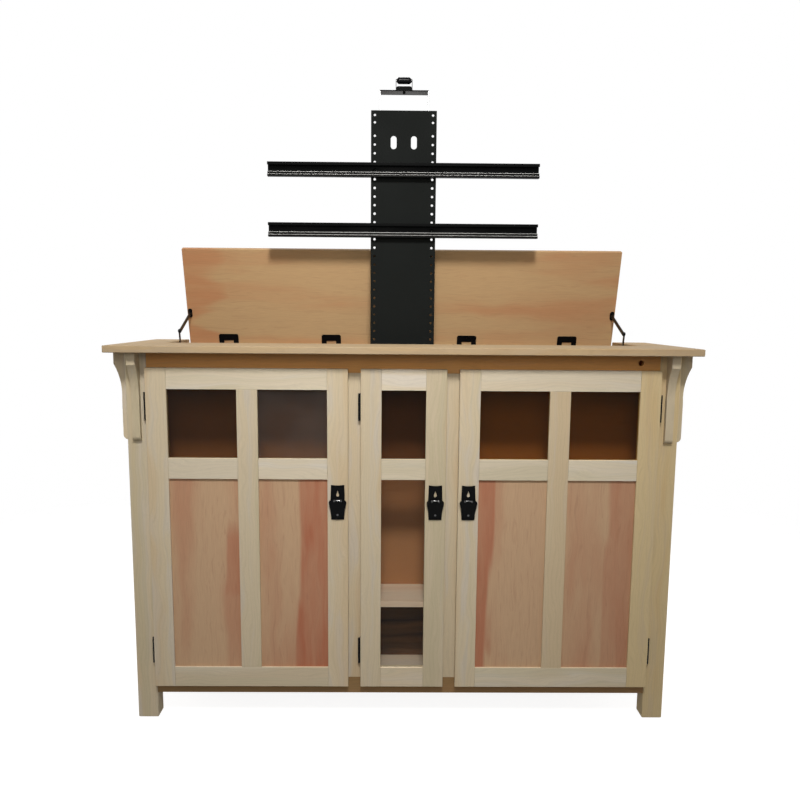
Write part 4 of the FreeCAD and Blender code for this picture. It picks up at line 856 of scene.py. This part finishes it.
def dress_pusher():
    """The lid pusher: a flat plate on two legs, the roller's fork and axle, and the fork's bolt."""
    node = "lid_pusher_bracket"
    low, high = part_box(node)
    roller_low, roller_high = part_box("lid_roller")
    axis_y, axis_z = (roller_low.y + roller_high.y) / 2, (roller_low.z + roller_high.z) / 2
    top_z = axis_z - AXLE_ABOVE_PLATE
    plate = block((low.x, low.y, top_z - PUSHER_PLATE), (high.x, high.y, top_z), 0.8 * MM)
    parts = [(plate, lambda face: PLATE_UNDER if face.normal.z < -0.5 else GLOSS_BLACK)]
    for side_x in (low.x, high.x - PUSHER_PLATE):
        leg_top = (side_x + PUSHER_PLATE, low.y + PUSHER_LEG_DEPTH, top_z - 0.5 * MM)
        parts.append((block((side_x, low.y, low.z), leg_top, 0.6 * MM), ZINC))
    half, crown = FORK_WIDTH / 2, FORK_CROWN
    shoulder_z = top_z + FORK_HEIGHT - crown
    outline = [(-half, top_z)] + arc_points((-half + crown, shoulder_z), crown, 180, 90, 8)
    outline += arc_points((half - crown, shoulder_z), crown, 90, 0, 8) + [(half, top_z)]
    front_y = axis_y - FORK_DEPTH / 2
    base = slab([Vector((x, front_y, z)) for x, z in outline], (0, 1, 0), FORK_DEPTH)
    parts.append((eased(base, 0.8 * MM, 2, CURVE_TURN), GLOSS_BLACK))
    for side_x in (-half, half - EAR_WALL):
        ring = [(axis_y - EAR_R, top_z + EAR_FOOT)]
        ring += arc_points((axis_y, axis_z), EAR_R, 180, 0, 12)
        ring.append((axis_y + EAR_R, top_z + EAR_FOOT))
        ear = slab([Vector((side_x, y, z)) for y, z in ring], (1, 0, 0), EAR_WALL)
        parts.append((eased(ear, 0.3 * MM, 1, CURVE_TURN), GLOSS_BLACK))
    axle = [(0.0, AXLE_R - AXLE_EASE), (AXLE_EASE, AXLE_R), (FORK_WIDTH - AXLE_EASE, AXLE_R),
            (FORK_WIDTH, AXLE_R - AXLE_EASE)]
    parts.append((turned(axle, (-half, axis_y, axis_z), (1, 0, 0), 20), BRIGHT_STEEL))
    bolt = [(0.0, 0.8 * FORK_BOLT_R), (0.5 * MM, FORK_BOLT_R), (FORK_BOLT_LENGTH, FORK_BOLT_R)]
    bolt_place = (0.0, low.y + FORK_BOLT_BACK, top_z - PUSHER_PLATE - FORK_BOLT_LENGTH)
    parts.append((turned(bolt, bolt_place, (0, 0, 1), 6), GLOSS_BLACK))
    stand_in(node, parts, smooth=40.0)


def dress_roller():
    """A barrel roller: a straight middle and shoulders that taper. Its ends are flat, without a
    bore.
    """
    node = "lid_roller"
    low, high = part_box(node)
    length, r = high.x - low.x, (high.z - low.z) / 2
    place = (low.x, (low.y + high.y) / 2, (low.z + high.z) / 2)
    shoulder = [(0.0, 2.7 * MM), (0.0, 3.6 * MM), (0.4 * MM, 4.2 * MM), (4.6 * MM, 0.86 * r),
                (6.4 * MM, 0.97 * r), (8.4 * MM, r)]
    other = [(length - distance, radius) for distance, radius in reversed(shoulder)]
    form = turned(shoulder + other, place, (1, 0, 0), 40)
    stand_in(node, [(form, ROLLER_BLACK)], smooth=40.0)


dress_mast()
dress_crossbars()
dress_bolts()
dress_pusher()
dress_roller()

# ---------------------------------------------------------------- drive, controls and catches
THREAD_PITCH, THREAD_ROOT = 6.0 * MM, 0.86


def dress_lead_screw():
    """The tall rod carries the rings of a thread. Its collars and seats stay plain."""
    node = "lead_screw"
    parts = []
    for solid in solids_of(node):
        low, high = extents(solid)
        width, tall = high.x - low.x, high.z - low.z
        if tall < 10 * width:
            parts.append((eased(solid, 0.5 * MM), BRIGHT_STEEL))
            continue
        solid.free()
        r, pitch, root = width / 2, THREAD_PITCH, THREAD_ROOT * width / 2
        profile = [(0.0, 0.8 * r), (0.5 * MM, 0.9 * r)]
        for ring in range(1, int((tall - 2 * pitch) / pitch) + 1):
            start = pitch * ring
            profile += [(start, root), (start + 0.3 * pitch, r), (start + 0.6 * pitch, r),
                        (start + 0.9 * pitch, root)]
        profile += [(tall - 0.5 * MM, root), (tall, 0.8 * r)]
        foot = ((low.x + high.x) / 2, (low.y + high.y) / 2, low.z)
        parts.append((turned(profile, foot, (0, 0, 1), 16), BRIGHT_STEEL))
    stand_in(node, parts, smooth=25.0)


dress("lift_guide_frame", GREY_STEEL, ease=0.5)
dress_lead_screw()
dress("guide_pads", WHITE_NYLON, ease=0.5)
rounded_metal("drive_gearbox", GREY_CAST, flats=1.6, corners=0.8)
dress("control_box", BLACK_PLASTIC, ease=0.6)
dress("door_catches", BROWN_PLASTIC, ease=0.5)


# ---------------------------------------------------------------- floor and background
FLOOR_R, FLOOR_FALL, FADE_START, FADE_END, FLOOR_GLOW = 4.0, 0.5 * MM, 1.3, 3.4, 0.89
# The sky as a lamp: its strength below and above, and the heights between which it changes
SKY = {"From Min": -0.6, "From Max": 0.8, "To Min": 0.05, "To Max": 0.32}
SKY_SEEN = 1.0


def seen_directly(tree):
    """1 for rays of the camera, of mirrors and of glass, else 0."""
    path = tree.nodes.new("ShaderNodeLightPath")
    total = path.outputs["Is Camera Ray"]
    for name in ("Is Glossy Ray", "Is Transmission Ray"):
        made = tree.nodes.new("ShaderNodeMath")
        made.operation = "MAXIMUM"
        tree.links.new(total, made.inputs[0])
        tree.links.new(path.outputs[name], made.inputs[1])
        total = made.outputs[0]
    return total


def pale_floor():
    """The floor fades out, so that it has no far edge. It shows near white and keeps shadows."""
    s = Shader("floor")
    place = s.place()
    length = s.node("VectorMath", {0: place}, operation="LENGTH").outputs["Value"]
    speckle = s.noise(place, scale=30.0, detail=3.0)
    colour = s.mixed(s.ramp(speckle, 0.3, 0.7), (0.34, 0.34, 0.34, 1.0), (0.36, 0.36, 0.36, 1.0))
    s.finish(colour, 0.9, Specular_IOR_Level=0.1)
    strength = s.math("MULTIPLY", seen_directly(s.tree), FLOOR_GLOW)
    glow = s.node("Emission", {"Strength": strength}).outputs[0]
    lit = s.node("AddShader", {0: s.surface.outputs[0], 1: glow}).outputs[0]
    clear = s.node("BsdfTransparent").outputs[0]
    share = s.ramp(length, FADE_START, FADE_END)
    fade = s.node("MixShader", {0: share, 1: lit, 2: clear}).outputs[0]
    s.tree.links.new(fade, s.output.inputs["Surface"])
    return s.material


floor_form = turned([(0.0, FLOOR_R), (FLOOR_FALL, 0.0)], (0, 0, -FLOOR_FALL), (0, 0, 1), 64)
floor_mesh = bpy.data.meshes.new("floor")
floor_form.to_mesh(floor_mesh)
floor_form.free()
floor_mesh.materials.append(pale_floor())
floor = bpy.data.objects.new("floor", floor_mesh)
scene.collection.objects.link(floor)

world = bpy.data.worlds.new("studio")
world.use_nodes = True
scene.world = world
links = world.node_tree.links
background = world.node_tree.nodes["Background"]
background.inputs["Color"].default_value = (1.0, 1.0, 1.0, 1.0)
direction = world.node_tree.nodes.new("ShaderNodeTexCoord")
height = world.node_tree.nodes.new("ShaderNodeSeparateXYZ")
links.new(direction.outputs["Generated"], height.inputs[0])
soft = world.node_tree.nodes.new("ShaderNodeMapRange")
for socket_name, setting in SKY.items():
    soft.inputs[socket_name].default_value = setting
links.new(height.outputs["Z"], soft.inputs["Value"])
level = world.node_tree.nodes.new("ShaderNodeMapRange")
level.inputs["To Max"].default_value = SKY_SEEN
links.new(soft.outputs[0], level.inputs["To Min"])
links.new(seen_directly(world.node_tree), level.inputs["Value"])
links.new(level.outputs[0], background.inputs["Strength"])


# ---------------------------------------------------------------- lamps and camera
DAYLIGHT, WARM_LIGHT = (1.0, 0.98, 0.95), (1.0, 0.97, 0.92)


def lamp(name, place, aim, size, power, spread, colour=DAYLIGHT):
    """A round area lamp. Its spread is in degrees."""
    data = bpy.data.lights.new(name, "AREA")
    data.shape = "DISK"
    data.size = size
    data.energy = power
    data.color = colour
    data.spread = math.radians(spread)
    light = bpy.data.objects.new(name, data)
    light.location = place
    light.rotation_euler = (Vector(aim) - Vector(place)).to_track_quat("-Z", "Y").to_euler()
    scene.collection.objects.link(light)


lamp("key", (0.0, -3.15, 3.8), (-0.1, 0.0, 1.5), size=0.7, power=14.2, spread=52.0)
lamp("fill", (-0.05, -3.1, 1.9), (-0.05, 0.0, 1.5), size=1.3, power=5.0, spread=90.0,
     colour=WARM_LIGHT)
for side_name, side_x in (("left_side", -3.2), ("right_side", 3.2)):
    lamp(side_name, (side_x, 0.45, 1.3), (0.0, 0.15, 0.8), size=1.4, power=8.0, spread=100.0)
lamp("rear", (0.0, 3.4, 2.8), (0.0, 0.0, 0.9), size=1.4, power=12.0, spread=100.0)

# The camera was fitted to points measured in the photograph.
CAMERA_PLACE = (-0.04741, -2.66014, 1.16701)
PITCH, YAW, ROLL = math.radians(9.0485), math.radians(-0.677), math.radians(0.4277)
camera_data = bpy.data.cameras.new("camera")
camera_data.sensor_width = 36.0
camera_data.lens = 39.986
camera_data.shift_x = 0.00423
camera_data.shift_y = 0.0677
camera_data.clip_end = 60.0
camera = bpy.data.objects.new("camera", camera_data)
scene.collection.objects.link(camera)
right = Vector((math.cos(YAW), math.sin(YAW), 0.0))
level_ahead = Vector((-math.sin(YAW), math.cos(YAW), 0.0))
zenith = Vector((0.0, 0.0, 1.0))
up = level_ahead * math.sin(PITCH) + zenith * math.cos(PITCH)
ahead = level_ahead * math.cos(PITCH) - zenith * math.sin(PITCH)
rolled_right = right * math.cos(ROLL) + up * math.sin(ROLL)
rolled_up = up * math.cos(ROLL) - right * math.sin(ROLL)
turn = Matrix((rolled_right, rolled_up, -ahead)).transposed().to_4x4()
camera.matrix_world = Matrix.Translation(CAMERA_PLACE) @ turn
scene.camera = camera

scene.view_settings.view_transform = "Standard"
